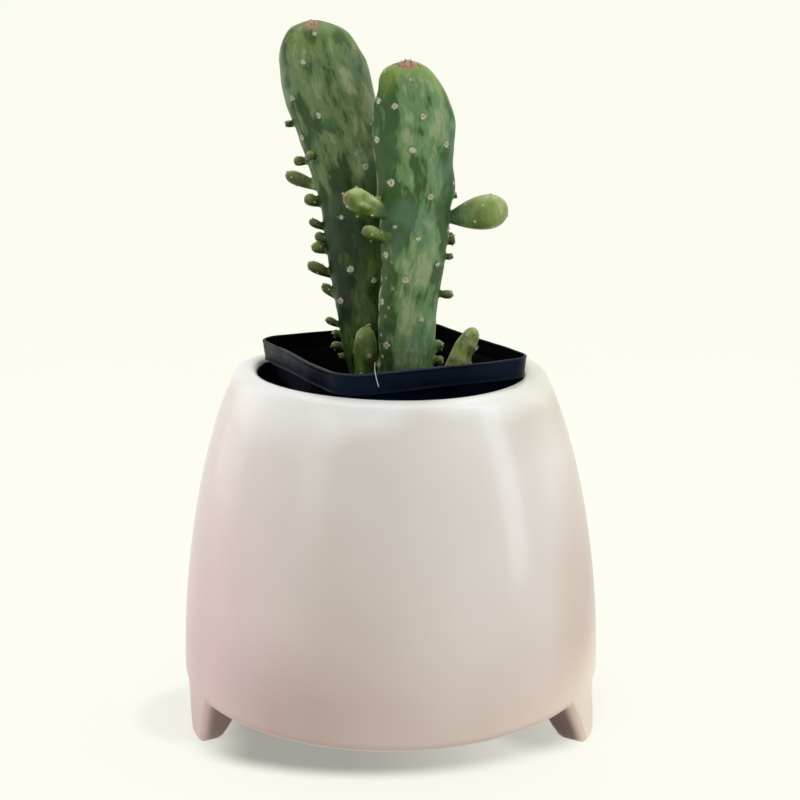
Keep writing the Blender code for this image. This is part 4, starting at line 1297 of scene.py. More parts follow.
def shoot_shape(number, shoot):
    """Points and faces of a shoot, from its sunk root to its round tip."""
    root, reach, thickness, neck, _ = shoot
    sunk = -SHOOT_ROOT / np.linalg.norm(reach)
    shares = np.concatenate([[sunk], 1 - np.linspace(1, 0.03, SHOOT_RINGS) ** 1.5])
    shares, turns = np.meshgrid(shares, circle(SHOOT_SIDES), indexing="ij")
    rings = shoot_surface(number, root, reach, thickness, neck, shares, turns)
    return closed_tube(rings, None, root + reach)


def stem_shape(name, settings):
    """Points and faces of a stem: its section, swollen round each areole and fluted along."""
    tip, drops = stem_rows(name)[:2]
    tall = name in TALL
    dome = STEM_TIP_DOME if tall else PUP_TIP_DOME
    levels = np.linspace(0.06, 1, DOME_RINGS) ** 2 * dome
    count = round((drops[-1] - dome) / RING_SPACING)
    heights = tip - np.concatenate([levels, np.linspace(dome, drops[-1], count + 1)[1:]])
    heights, angles = np.meshgrid(heights, circle(STEM_SIDES), indexing="ij")
    points = bare_stem(name, heights, angles)
    around = np.roll(points, -1, axis=1) - np.roll(points, 1, axis=1)
    normals = unit(np.cross(np.gradient(points, axis=0), around))
    swell = np.zeros(points.shape[:2])
    broad = SWELLING_REACH if tall else PUP_SWELLING_REACH
    for height, angle, _, _ in stem_areoles(name):
        away = points - bare_stem(name, height, angle)
        distance = np.linalg.norm(away, axis=2)
        foot = 0.4 * bell(distance, 2.2 * broad, 0.5) * ease(0, 3 * MM, -away[..., 2])
        swell = np.maximum(swell, bell(distance, broad, 0.5) + foot)
    seed = sum(map(ord, name))
    scale = 1.0 if tall else 0.4
    lean = points - np.stack([stem_section(name, heights)[0], 0 * heights, 0 * heights], -1)
    relief = SWELLING * swell
    relief += settings.flute * scale * ripple(lean, (5.5 * MM, 5.5 * MM, 26 * MM), seed)
    relief += 1.6 * settings.flute * scale * ripple(lean, (17 * MM, 17 * MM, 24 * MM), seed + 1)
    relief *= ease(0, 4 * MM, tip - heights)
    if tall:
        relief -= TIP_ROOM * ease(7 * MM, 0, tip - heights)
    if name == "stem_right":
        relief += 0.55 * MM * bell(angles - np.pi, 0.13) * ease(tip - 8 * MM, tip - 26 * MM, heights)
    points = points + relief[..., None] * normals
    return closed_tube(points, (*bare_stem(name, tip, 0.0)[:2], tip - TIP_ROOM * tall), None)


def evened(skin, pulls):
    """Points of a skin drawn to and from the mean of their neighbours in turn, by shares of the way."""
    count = len(skin.vertices)
    points = np.zeros(count * 3)
    skin.vertices.foreach_get("co", points)
    points = points.reshape(-1, 3)
    edges = np.zeros(len(skin.edges) * 2, dtype=np.int64)
    skin.edges.foreach_get("vertices", edges)
    first, second = edges.reshape(-1, 2).T
    neighbours = np.bincount(first, minlength=count) + np.bincount(second, minlength=count)
    for pull in pulls:
        mean = np.zeros_like(points)
        for axis in range(3):
            total = np.bincount(first, points[second, axis], count)
            total += np.bincount(second, points[first, axis], count)
            mean[:, axis] = total / neighbours
        points = points + pull * (mean - points)
    return points


def fused(name, shapes, grain):
    """Overlapping shapes grown into one skin of even small faces, with soft joints."""
    points, faces, _ = join_shapes(shapes)
    raw = bpy.data.objects.new(name + "_raw", make_mesh(name, points, faces))
    bpy.context.scene.collection.objects.link(raw)
    remesh = raw.modifiers.new("Skin", "REMESH")
    remesh.mode, remesh.voxel_size, remesh.adaptivity = "VOXEL", grain, 0.0
    bpy.context.view_layer.update()
    skin = evaluated_mesh(raw)
    bpy.data.objects.remove(raw)
    skin.name = name
    points = evened(skin, SMOOTHING_PULLS)
    skin.vertices.foreach_set("co", points.ravel())
    skin.shade_smooth()
    return skin, points


def shoot_measures(name, points, proud, to_tip):
    """Where the shoots are on the skin, with their growing ends, their freshness, and painted light and
    shade: lighter on top and along the ribs, darker below.
    """
    shoot, end, fresh = (np.zeros(len(points)) for _ in range(3))
    facing = np.full(len(points), 0.5)
    nearest = np.full(len(points), np.inf)
    for root, reach, thickness, neck, freshness in stem_shoots(name):
        wide = thickness > WIDE_SHOOT
        share = np.clip((points - root) @ reach / np.linalg.norm(reach) ** 2, 0, 1)
        out = points - root - share[:, None] * reach
        off = np.linalg.norm(out, axis=1)
        ratio = off / (thickness / 2)
        here = (ratio < nearest) & (ratio < 1.5) & (share > 0)
        nearest[here] = ratio[here]
        shoot[here] = (ease(0.0, 0.6 if wide else 0.3, share) * ease(1.5, 1.25, ratio))[here]
        end[here] = ease(0.84, 1.0, share[here])
        fresh[here] = freshness
        rib = off - shoot_radius(np.clip(share, 0, 0.93), thickness, neck)
        # Painted light and shade: lighter on the upper side and along the ribs, darker underneath
        level = 0.38 + 0.2 * ease(0.2, 0.9, share) + 0.13 * wide
        level += (0.34 - 0.21 * wide) * out[:, 2] / np.maximum(off, 0.1 * MM)
        facing[here] = (level + 2.4 * np.clip(rib / thickness - 0.02, -0.05, 0.14))[here]
    shoot *= np.where(ease(0, 5 * MM, to_tip) < 0.5, 1, ease(0.7 * MM, 1.6 * MM, proud))
    return {"shoot": shoot, "shoot_end": end, "fresh": fresh, "shoot_painted_light": facing}


def areole_measures(name, points):
    """Where the skin is shaded below each areole and at its rim, and where it glows above."""
    below, above = np.zeros(len(points)), np.zeros(len(points))
    for height, angle, size, _ in stem_areoles(name):
        away = points - bare_stem(name, height, angle)
        drop = -away[:, 2]
        beside = np.sqrt(np.clip((away ** 2).sum(1) - drop ** 2, 0, None))
        shadow = bell(beside, 1.25 * MM + 0.17 * np.clip(drop, 0, None)) * ease(0.2 * MM, 1.2 * MM, drop)
        below = np.maximum(below, size * shadow * ease(12 * MM, 3 * MM, drop))
        rim = np.exp(-((np.linalg.norm(away, axis=1) / (1.55 * size * MM)) ** 6))
        below = np.maximum(below, 0.8 * rim)
        glow = bell(beside, 2.4 * MM) * ease(-9 * MM, -2 * MM, drop)
        above = np.maximum(above, glow * ease(0.4 * MM, -0.6 * MM, drop))
    return {"below_areole": np.clip(below, 0, 1), "above_areole": above}


def measure_skin(name, skin, points):
    """Stores on the skin what its colours follow: place along the stem, shoots, areoles and crown."""
    tip, drops = stem_rows(name)[:2]
    depth, turn = STEMS[name][1:3]
    z = points[:, 2]
    place, width, thickness = stem_section(name, np.clip(z, tip - drops[-1], tip - 0.1 * MM))
    across, through = turned(points[:, 0] - place, points[:, 1] - depth, -turn)
    side = across / width
    shape = (np.abs(side) ** SECTION_POWER + np.abs(through / thickness) ** SECTION_POWER)
    proud = (shape ** (1 / SECTION_POWER) - 1) * np.hypot(across, through)
    tone_and_shade = np.zeros(len(points))
    for height, middle, tall, broad, lift in TONE_AND_SHADE_AREAS[name]:
        beyond = ((z - height * MM) / (tall * MM)) ** 2 + ((side - middle) / broad) ** 2
        tone_and_shade += lift * np.exp(-beyond / 2)
    young = 20 * MM
    if name == "stem_right":
        # Painted shade darkens the front of its left flank, and its crown reaches lower at both edges
        tone_and_shade -= 0.3 * ease(-0.5, -0.75, side) * (through < 0)
        young = 11 * MM + 15 * MM * ease(0.3, 0.9, side) + 8 * MM * ease(-0.3, -0.9, side)
    starts, full, share = PAINTED_LOW_SHADE[name]
    flushed = np.zeros(len(points))
    if name in GROWING_TIPS:
        level, middle, _ = np.mean(GROWING_TIPS[name], axis=0)
        away = np.linalg.norm(points - front_point(name, level, middle), axis=1)
        flushed = 0.8 * ease(4.2 * MM, 1.4 * MM, away)
    measures = {
        "tone_and_shade": tone_and_shade, "painted_low_shade": share * ease(starts, full, z), "flushed": flushed,
        "crest": bell(through, 0.9 * MM) * ease(-0.93, -1.0, side),
        "crown": ease(1, 0.1, (tip - z) / young), "buried": ease(146 * MM, 137 * MM, z),
        **shoot_measures(name, points, proud, tip - z), **areole_measures(name, points),
    }
    for key in SKIN_MEASURES:
        skin.attributes.new(key, "FLOAT", "POINT").data.foreach_set("value", measures[key])
    grain = np.stack([across, through, z], -1)
    skin.attributes.new("grain", "FLOAT_VECTOR", "POINT").data.foreach_set("vector", grain.ravel())


def skin_noises(tree, grain):
    """Patches, streaks, flecks, veins, wax clouds, breaks in the painted crest highlight and pores of the
    skin, that run along its grain.
    """
    # Wander of the streaks, by up to 2 mm over 9 mm, so that none runs straight
    wander = add_node(tree, "TexNoise", {"Vector": grain, "Scale": repeats(9), "Detail": 1.0})
    sway = add_node(tree, "VectorMath", {
        0: wander.outputs["Color"], 1: (0.5, 0.5, 0.5),
    }, operation="SUBTRACT")
    swung = add_node(tree, "VectorMath", {0: sway, 1: (4 * MM, 4 * MM, 0.0)}, operation="MULTIPLY")
    flow = add_node(tree, "VectorMath", {0: grain, 1: swung}, operation="ADD")
    # Patches 7 mm wide and 17 mm tall, feathered streaks 2.3 mm by 11 mm, flecks 0.9 mm by 4.5 mm,
    # veins 5 mm apart, clouds 14 mm across in the wax, 4 mm breaks in the painted crest highlight, pores 0.6
    # mm.
    # Each noise: what it runs along, its size, detail, roughness and distortion
    tall, narrow = (
        add_node(tree, "Mapping", {"Vector": flow, "Scale": (1.0, 1.0, flatness)}) for flatness in (0.4, 0.2)
    )
    return [
        add_node(tree, "TexNoise", {
            "Vector": along, "Scale": repeats(size), "Detail": detail, "Roughness": rough,
            "Distortion": twist,
        }) for along, size, detail, rough, twist in (
            (tall, 7, 3.0, 0.55, 0.5), (narrow, 2.3, 3.0, 0.55, 0.4), (narrow, 0.9, 2.0, 0.5, 0.0),
            (narrow, 5, 2.0, 0.5, 0.4), (flow, 14, 2.0, 0.5, 0.0), (grain, 4, 2.0, 0.5, 0.0),
            (grain, 0.6, 2.0, 0.5, 0.0),
        )
    ]


def shoot_colour(tree, settings, measured, marbling):
    """Shoots: painted light along their ribs and on top, painted shade below, olive when older, and
    reddened at the growing end.
    """
    shoot_light_level = add_node(tree, "Math", {
        0: marbling, 1: 0.35, 2: measured["shoot_painted_light"],
    }, operation="MULTIPLY_ADD")
    olive = add_node(tree, "ValToRGB", {"Fac": shoot_light_level}, stops=[
        (0.3, "#1B240B"), (0.65, "#3D4A1C"), (1.0, settings.old_shoot),
    ])
    bright = add_node(tree, "ValToRGB", {"Fac": shoot_light_level}, stops=[
        (0.3, "#2C3B12"), (0.62, "#54682A"), (0.85, "#869956"), (1.0, settings.fresh_shoot),
    ])
    shoot = add_node(tree, "Mix", {0: measured["fresh"], 6: olive, 7: bright}, data_type="RGBA")
    budding = add_node(tree, "Math", {0: measured["shoot_end"], 1: 0.3}, operation="MULTIPLY")
    return add_node(tree, "Mix", {0: budding, 6: shoot, 7: settings.shoot_end}, data_type="RGBA")


def cactus_skin(name, settings, dark, middle, pale, crown, crown_share, streaky):
    """Waxy pad skin, marbled where the green is missing: cloudy patches drawn out into upright streaks."""
    material, tree, shader = new_material("Waxy cactus skin, " + name.replace("_", " "), {
        "IOR": 1.42, "Specular IOR Level": 0.4, "Subsurface Weight": 0.06,
        "Subsurface Radius": (0.6, 1.0, 0.3), "Subsurface Scale": 1.5 * MM,
    })
    measured = {
        key: add_node(tree, "Attribute", attribute_name=key).outputs["Fac"] for key in SKIN_MEASURES
    }
    grain = add_node(tree, "Attribute", attribute_name="grain").outputs["Vector"]
    patches, streaks, flecks, web, bloom, crest_breaks, pores = skin_noises(tree, grain)
    drawn = add_node(tree, "Math", {0: streaks, 1: streaky, 2: -0.5 * streaky}, operation="MULTIPLY_ADD")
    mixed = add_node(tree, "Math", {0: patches, 1: drawn}, operation="ADD")
    fine = add_node(tree, "Math", {
        0: flecks, 1: 0.3 * streaky, 2: -0.15 * streaky,
    }, operation="MULTIPLY_ADD")
    marbling = add_node(tree, "Math", {0: mixed, 1: fine}, operation="ADD")
    # Large areas of marbling and painted edge shade, the shade below each areole and the glow above it
    # shift the marbling's tone
    toned = add_node(tree, "Math", {0: marbling, 1: measured["tone_and_shade"]}, operation="ADD")
    for key, shift in (("below_areole", -0.22), ("above_areole", 0.07)):
        toned = add_node(tree, "Math", {0: measured[key], 1: shift, 2: toned}, operation="MULTIPLY_ADD")
    flesh = add_node(tree, "ValToRGB", {"Fac": toned}, stops=[
        (0.3, dark), (0.46, middle), (0.54, middle), (0.68, pale),
    ])
    # Dark veins, 0.5 mm wide, feather the edges of the patches, and cool grey-green clouds lie in the
    # wax. The young skin of the crown is thinner where the patches are dark; the crest has a painted
    # highlight.
    # Pale marbling is duller. Each follows a noise from a value to a value, and from a share to a share
    from_vein = add_node(tree, "Math", {0: web, 1: 0.5}, operation="SUBTRACT")
    off_vein = add_node(tree, "Math", {0: from_vein}, operation="ABSOLUTE")
    veins, cool, broken, whole, gloss = (
        add_node(tree, "MapRange", {
            "Value": value, "From Min": start, "From Max": end, "To Min": least, "To Max": most,
        }) for value, start, end, least, most in (
            (off_vein, 0.0, 0.03, 0.3, 0.0), (bloom, 0.54, 0.72, 0.0, 0.45), (mixed, 0.35, 0.6, 0.62, 1.0),
            (crest_breaks, 0.45, 0.6, 0.0, 1.0), (marbling, 0.3, 0.7, 0.38, 0.54),
        )
    )
    young = add_node(tree, "Math", {0: measured["crown"], 1: crown_share}, operation="MULTIPLY")
    crowned = add_node(tree, "Math", {0: young, 1: broken}, operation="MULTIPLY")
    crest_highlight = add_node(tree, "Math", {0: measured["crest"], 1: whole}, operation="MULTIPLY")
    shoot = shoot_colour(tree, settings, measured, marbling)
    # Layers over the flesh, from its veins to the corky skin that enters the soil, with a painted
    # highlight along the crest and painted shade darkening the lower skin
    colour = flesh
    for share, over, blend in (
        (veins, dark, "MIX"), (cool, settings.bloom, "MIX"), (crowned, crown, "MIX"),
        (measured["flushed"], settings.flushed, "MIX"), (crest_highlight, settings.crest, "MIX"),
        (measured["painted_low_shade"], settings.painted_low_shade, "MULTIPLY"), (measured["shoot"], shoot, "MIX"),
        (measured["buried"], "#5B5138", "MIX"),
    ):
        colour = add_node(tree, "Mix", {0: share, 6: colour, 7: over}, data_type="RGBA", blend_type=blend)
    # Shoots are glossier
    waxy = add_node(tree, "Math", {0: measured["shoot"], 1: -0.2, 2: gloss}, operation="MULTIPLY_ADD")
    # Skin pores and the low relief of the streaks
    relief = add_node(tree, "Math", {0: streaks, 1: 2.5, 2: pores}, operation="MULTIPLY_ADD")
    bump = add_node(tree, "Bump", {"Height": relief, "Strength": 0.3, "Distance": 0.15 * MM})
    plug(tree, shader, {"Base Color": colour, "Roughness": waxy, "Normal": bump})
    return material


class StemSettings(bpy.types.PropertyGroup):
    grain: length_setting("Face size", "Size of the faces in the fused skin of the tall stems", 0.46)
    flute: length_setting("Fluting", "Depth of the shallow upright flutes", 0.2)
    left_dark: colour_setting("Left, dark", "Dark marbling of the left stem", "#2D481F")
    left_middle: colour_setting("Left, middle", "Middle green of the left stem", "#647A4B")
    left_pale: colour_setting("Left, pale", "Pale marbling of the left stem", "#919B77")
    right_dark: colour_setting("Right, dark", "Dark marbling of the right stem", "#345323")
    right_middle: colour_setting("Right, middle", "Middle green of the right stem", "#648552")
    right_pale: colour_setting("Right, pale", "Pale marbling of the right stem", "#8A9B70")
    bloom: colour_setting("Wax bloom", "Cool grey-green clouds in the wax", "#5E806A")
    # Tint of the painted shade that darkens the lower skin
    painted_low_shade: colour_setting("Aged skin", "Tint that dulls the oldest skin", "#79963D")
    flushed: colour_setting("Flush", "Reddened skin at the very tips", "#A9705A")
    crown: colour_setting("Crown", "Young skin near the tip", "#829B43")
    # Colour of the painted highlight along the right stem's left edge
    crest: colour_setting("Crest", "Pale ridge along the right stem's left edge", "#A9B992")
    pup: colour_setting("Pups", "Pale skin of the two young stems", "#A2B067")
    old_shoot: colour_setting("Older shoots", "Skin of the older shoots", "#7A8448")
    fresh_shoot: colour_setting("Fresh shoots", "Skin of the freshest shoots", "#B7C683")
    shoot_end: colour_setting("Shoot ends", "Reddened growing ends of the shoots", "#A98A6A")


class PEAR_OT_stems(bpy.types.Operator):
    """Two tall stems and two pups, each grown into one skin with its shoots"""

    bl_idname = "pear.stems"
    bl_label = "Stems"

    def execute(self, context):
        settings = context.scene.pear.stems
        colours = {
            "stem_left": (
                settings.left_dark, settings.left_middle, settings.left_pale, settings.crown, 0.35, 0.5
            ),
            "stem_right": (
                settings.right_dark, settings.right_middle, settings.right_pale, settings.crown, 0.95, 0.65
            ),
            "pup_front": (linear("#4C5D2B"), linear("#647936"), settings.pup, settings.pup, 0.4, 0.5),
            "pup_right": (linear("#56662F"), linear("#93A45F"), settings.pup, settings.pup, 0.5, 0.8),
        }
        for name in STEMS:
            shapes = [(*stem_shape(name, settings), 0)]
            for number, shoot in enumerate(stem_shoots(name)):
                shapes.append((*shoot_shape(number, shoot), 0))
            grain = settings.grain if name in TALL else 0.7 * settings.grain
            skin, points = fused(name + "_skin", shapes, grain)
            measure_skin(name, skin, points)
            material = cactus_skin(name, settings, *colours[name])
            piece = add_piece(name + "_skin", skin, [material])
            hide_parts(name)
        return {"FINISHED"}


# Areoles and growing tips


def areole_wool(settings):
    """Areole wool: matted cream hair, felty, with an olive cast in its hollows, 0.45 mm apart."""
    return mottled("Areole wool, matted", {
        "Roughness": 0.95, "IOR": 1.4, "Specular IOR Level": 0.2, "Sheen Weight": 0.4,
        "Sheen Roughness": 0.5,
    }, {"Scale": repeats(0.45), "Detail": 5.0, "Roughness": 0.7}, [
        (0.34, "#838A5E"), (0.62, settings.wool),
    ], {"Strength": 0.8, "Distance": 0.3 * MM})


def bristle_horn(settings):
    """Glochids: hair-fine barbed bristles of horn-like fibre, straw pale with a dull shine."""
    return mottled(
        "Glochid horn, straw", {"Roughness": 0.45, "IOR": 1.5}, {"Scale": repeats(1.5)},
        [(0.35, "#A69A66"), (0.62, settings.bristle)],
    )


def bud_flesh(name, deep, flushed, light):
    """Young leaf and bud flesh: soft, waxy and flushed, in spots of 1.3 mm, where the sun reaches it."""
    return mottled(name, {
        "Roughness": 0.42, "IOR": 1.42, "Subsurface Weight": 0.1,
        "Subsurface Radius": (1.0, 0.5, 0.3), "Subsurface Scale": 1 * MM,
    }, {"Scale": repeats(1.3), "Detail": 3.0, "Roughness": 0.6}, [(0.3, deep), (0.5, flushed), (0.72, light)])


def cone_shape(root, direction, length, thickness, bend):
    """Points and faces of a small tapering leaf that bends towards a direction."""
    rings = []
    for share, breadth in ((-0.15, 0.8), (0.05, 0.95), (0.3, 1.0), (0.55, 0.82), (0.78, 0.52), (0.92, 0.26)):
        ring = spokes(*axes(direction), circle(LEAF_SIDES)) * (thickness / 2 * breadth)
        rings.append(root + direction * share * length + bend * share ** 2 + ring)
    return closed_tube(rings, None, root + direction * length + bend)


def wool_shape(centre, normal, radius, height, seed, tuft, longer=1.0):
    """Points and faces of a tufted cushion of wool, longer up the stem where asked."""
    ball, faces = tuft
    side, up = axes(normal)
    relief = 1 + 0.24 * ripple(ball + seed, 0.9, seed, 8)
    local = ball * relief[:, None] * (radius, radius * longer, height)
    points = centre + local[:, :1] * side + local[:, 1:2] * up + local[:, 2:] * normal
    return points, faces


def tuft_of_bristles(centre, normal, radius, count, length, thickness, spread, draw):
    """Bristles that stand out of an areole in a loose fan."""
    turns = draw.uniform(0, 2 * np.pi, count)
    reach = np.sqrt(draw.random(count))
    out = spokes(*axes(normal), turns)
    roots = centre + out * (radius * 0.8 * reach)[:, None] + normal * (0.15 * radius)
    directions = unit(normal + out * (spread * reach)[:, None] + draw.normal(0, 0.16, (count, 3)))
    return bristles(roots, directions, length * draw.uniform(0.55, 1.2, count), thickness)


def areole_shapes(centre, normal, size, kind, settings, seed, tuft):
    """Wool, bristles and bud of one areole on a stem."""
    draw = np.random.default_rng(seed)
    radius = settings.wool_width / 2 * size
    side, up = axes(normal)
    shapes = []
    # A pad is one cushion of seven tufts, and the others are an open ring of twelve
    if kind == "pad":
        turns = draw.uniform(0, 2 * np.pi, 7)
        reaches = 0.6 * np.sqrt(draw.random(7))
        breadths = draw.uniform(0.34, 0.6, 7)
    else:
        turns = draw.uniform(0, 2 * np.pi) + np.radians(np.linspace(0, 300, 12)) + draw.normal(0, 0.15, 12)
        reaches = draw.uniform(0.42, 0.66, 12)
        breadths = draw.uniform(0.28, 0.46, 12)
    for number, (turn, reach, breadth) in enumerate(zip(turns, reaches, breadths)):
        out = spokes(side, up, turn)
        spot = centre + radius * (reach * out + 0.15 * normal)
        lean = unit(normal + 0.5 * reach * out)
        cushion = wool_shape(spot, lean, breadth * radius, 0.8 * breadth * radius, seed + 31 * number, tuft)
        shapes.append((*cushion, WOOL))
    # A ring's middle is a dull olive disc: old felt, and painted shade of its shallow hollow
    if kind == "ring":
        hollow = centre + normal * 0.02 * radius
        shapes.append((*wool_shape(hollow, normal, 0.5 * radius, 0.3 * radius, seed + 3, tuft), FELT_AND_SHADE))
    if kind == "bud":
        direction = unit(normal + (draw.normal(0, 0.25, 3) + (0, 0, 0.3)))
        leaf = cone_shape(centre, direction, 1.2 * radius, 0.6 * radius, np.array([0, 0, 0.2 * radius]))
        other = cone_shape(
            centre + normal * 0.1 * radius, (direction + 1.1 * side) / 1.6, 0.8 * radius, 0.5 * radius,
            np.zeros(3),
        )
        shapes += [(*leaf, BUD), (*other, BUD)]
    # Glochids in a dense brush, loose wool between them, and a few long hairs
    common = settings.bristle_length
    for reach, count, length, width, spread, finish in (
        (1.05, settings.bristles, common * size ** 0.5, 1.0, 1.25, HORN),
        (1.15, 2 * settings.bristles, 0.62 * common, 1.1, 2.6, WOOL),
        (0.6, 7, 1.7 * common * size ** 0.5, 1.5, 2.8, WOOL),
    ):
        tuft_shape = tuft_of_bristles(
            centre, normal, reach * radius, count, length, width * settings.bristle_width, spread, draw
        )
        shapes.append((*tuft_shape, finish))
    return shapes


def shoot_areole_shapes(name, settings, tuft):
    """Small areoles, each with its leaf, that spiral up every shoot."""
    shapes = []
    for number, (root, reach, thickness, neck, fresh) in enumerate(stem_shoots(name)):
        axis = unit(reach)
        radius = np.clip(0.065 * thickness, 0.26 * MM, 0.52 * MM) * (1.4 if fresh < 0.15 else 1.0)
        for spot, (share, turn) in enumerate(shoot_areoles(number, thickness)):
            seed = 7000 + 100 * number + spot
            draw = np.random.default_rng(seed)
            # The areole's place, and places below, above and beside it that say how the skin faces
            at = np.array([share, share - 0.02, share + 0.02, share]).clip(0, 0.995)
            turns = turn + np.array([0, 0, 0, 0.1])
            place, low, high, beside = shoot_surface(number, root, reach, thickness, neck, at, turns)
            normal = unit(np.cross(beside - place, high - low))
            if normal @ (place - root - share * reach) < 0:
                normal = -normal
            centre = place - 0.15 * radius * normal
            shapes.append((*wool_shape(centre, normal, radius, 0.7 * radius, seed, tuft), WOOL))
            fuzz = tuft_of_bristles(
                centre, normal, radius, 7, 0.9 * settings.bristle_length * (radius / (0.6 * MM)) ** 0.5,
                0.8 * settings.bristle_width, 1.0, draw,
            )
            shapes.append((*fuzz, HORN))
            if share > 0.85 and thickness < WIDE_SHOOT:
                leaf = unit(normal * 0.5 + axis * 0.8)
                shapes.append((*cone_shape(centre, leaf, 1.5 * radius, 1.0 * radius, np.zeros(3)), BUD))
    return shapes


def crown_shapes(name, tuft, fine_tuft):
    """Cluster of young reddened leaves, upright against a tall stem's growing tip."""
    shapes = []
    for number, (height, across, breadth) in enumerate(GROWING_TIPS.get(name, [])):
        angle = angle_across(name, height * MM, across, True)
        normal = outward(name, height * MM, angle)
        spot = bare_stem(name, height * MM, angle) - 0.75 * TIP_ROOM * normal
        normal = unit(normal * (1, 1, 0.35))
        broad = 0.75 * breadth * MM
        spot[2] = min(spot[2], stem_rows(name)[0] - 1.6 * broad)
        shapes.append((*wool_shape(spot, normal, broad, 0.8 * broad, 40 + number, fine_tuft, 1.5), TIP))
        if number % 2 == 0:
            beside = spot + np.array([0.8 * broad, 0, -1.4 * broad])
            shapes.append((*wool_shape(beside, normal, 0.4 * MM, 0.5 * MM, number, tuft, 1.6), WOOL))
    return shapes


def stray_hair():
    """A long white hair from the lowest areole of the right stem, caught over the pot's rim."""
    path = softened(np.array(STRAY_HAIR_PATH) * MM, 0.5 * MM, 1.2 * MM)
    along = unit(np.gradient(path, axis=0))
    rings = []
    for point, direction, share in zip(path, along, np.linspace(0, 1, len(path))):
        side = unit(np.cross(direction, [1, 0, 0]))
        ring = spokes(side, np.cross(side, direction), circle(6))
        rings.append(point + ring * 0.1 * MM * (0.7 + 0.8 * share))
    return closed_tube(rings)


def seed_hair():
    """Silky white plant hair: smooth pale fibre, faintly yellow over 6 mm in places."""
    return mottled(
        "Plant hair, silky", {"Roughness": 0.35, "IOR": 1.5, "Sheen Weight": 0.3},
        {"Scale": repeats(6), "Detail": 1.0}, [(0.35, "#D9D6C8"), (0.65, "#F6F5F0")],
    )


def felt_and_hollow_shade():
    """Middle of a ring areole: dull olive, partly old matted wool and partly painted shade of a shallow
    hollow.
    """
    return mottled(
        "Areole felt and hollow shade, olive", {"Roughness": 1.0, "IOR": 1.4}, {"Scale": repeats(0.5), "Detail": 3.0},
        [(0.35, "#5C563A"), (0.65, "#90906A")],
    )


class AreoleSettings(bpy.types.PropertyGroup):
    wool_width: length_setting("Wool width", "Width of a common areole's wool", 2.4)
    bristles: IntProperty(name="Bristles", description="Bristles in a stem's areole", min=3, default=26)
    bristle_length: length_setting("Bristle length", "Length of a common glochid", 1.1)
    bristle_width: length_setting("Bristle width", "Width of a bristle, wide enough to show", 0.13)
    wool: colour_setting("Wool", "Clean wool", "#D6DEC2")
    bristle: colour_setting("Bristle", "Palest glochids", "#E6D6AE")
    bud: colour_setting("Bud", "Tan buds of the areoles", "#B58E72")
    tip: colour_setting("Growing tip", "Reddened young leaves of the growing tips", "#B48A78")


class PEAR_OT_areoles(bpy.types.Operator):
    """Woolly areoles with their glochids and buds, growing tips and a stray hair"""

    bl_idname = "pear.areoles"
    bl_label = "Areoles and growing tips"

    def execute(self, context):
        settings = context.scene.pear.areoles
        buds = bud_flesh("Bud flesh, tan", "#8A6A4C", settings.bud, "#D2BC98")
        tips = bud_flesh("Bud flesh, red", "#8E6A50", settings.tip, "#D2BEA4")
        materials = [areole_wool(settings), bristle_horn(settings), buds, felt_and_hollow_shade(), tips, seed_hair()]
        tuft, fine_tuft = lump(2), lump(3)
        for name in STEMS:
            shapes = []
            for number, (height, angle, size, kind) in enumerate(stem_areoles(name)):
                normal = outward(name, height, angle)
                centre = bare_stem(name, height, angle) + normal * 0.9 * SWELLING
                shapes += areole_shapes(centre, normal, size, kind, settings, 100 + number, tuft)
            shapes += shoot_areole_shapes(name, settings, tuft)
            shapes += crown_shapes(name, tuft, fine_tuft)
            if name == "stem_right":
                shapes.append((*stray_hair(), HAIR))
            points, faces, finishes = join_shapes(shapes)
            mesh = make_mesh(name + "_areoles", points, faces)
            add_piece(name + "_areoles", mesh, materials, finishes)
        return {"FINISHED"}


# Stage


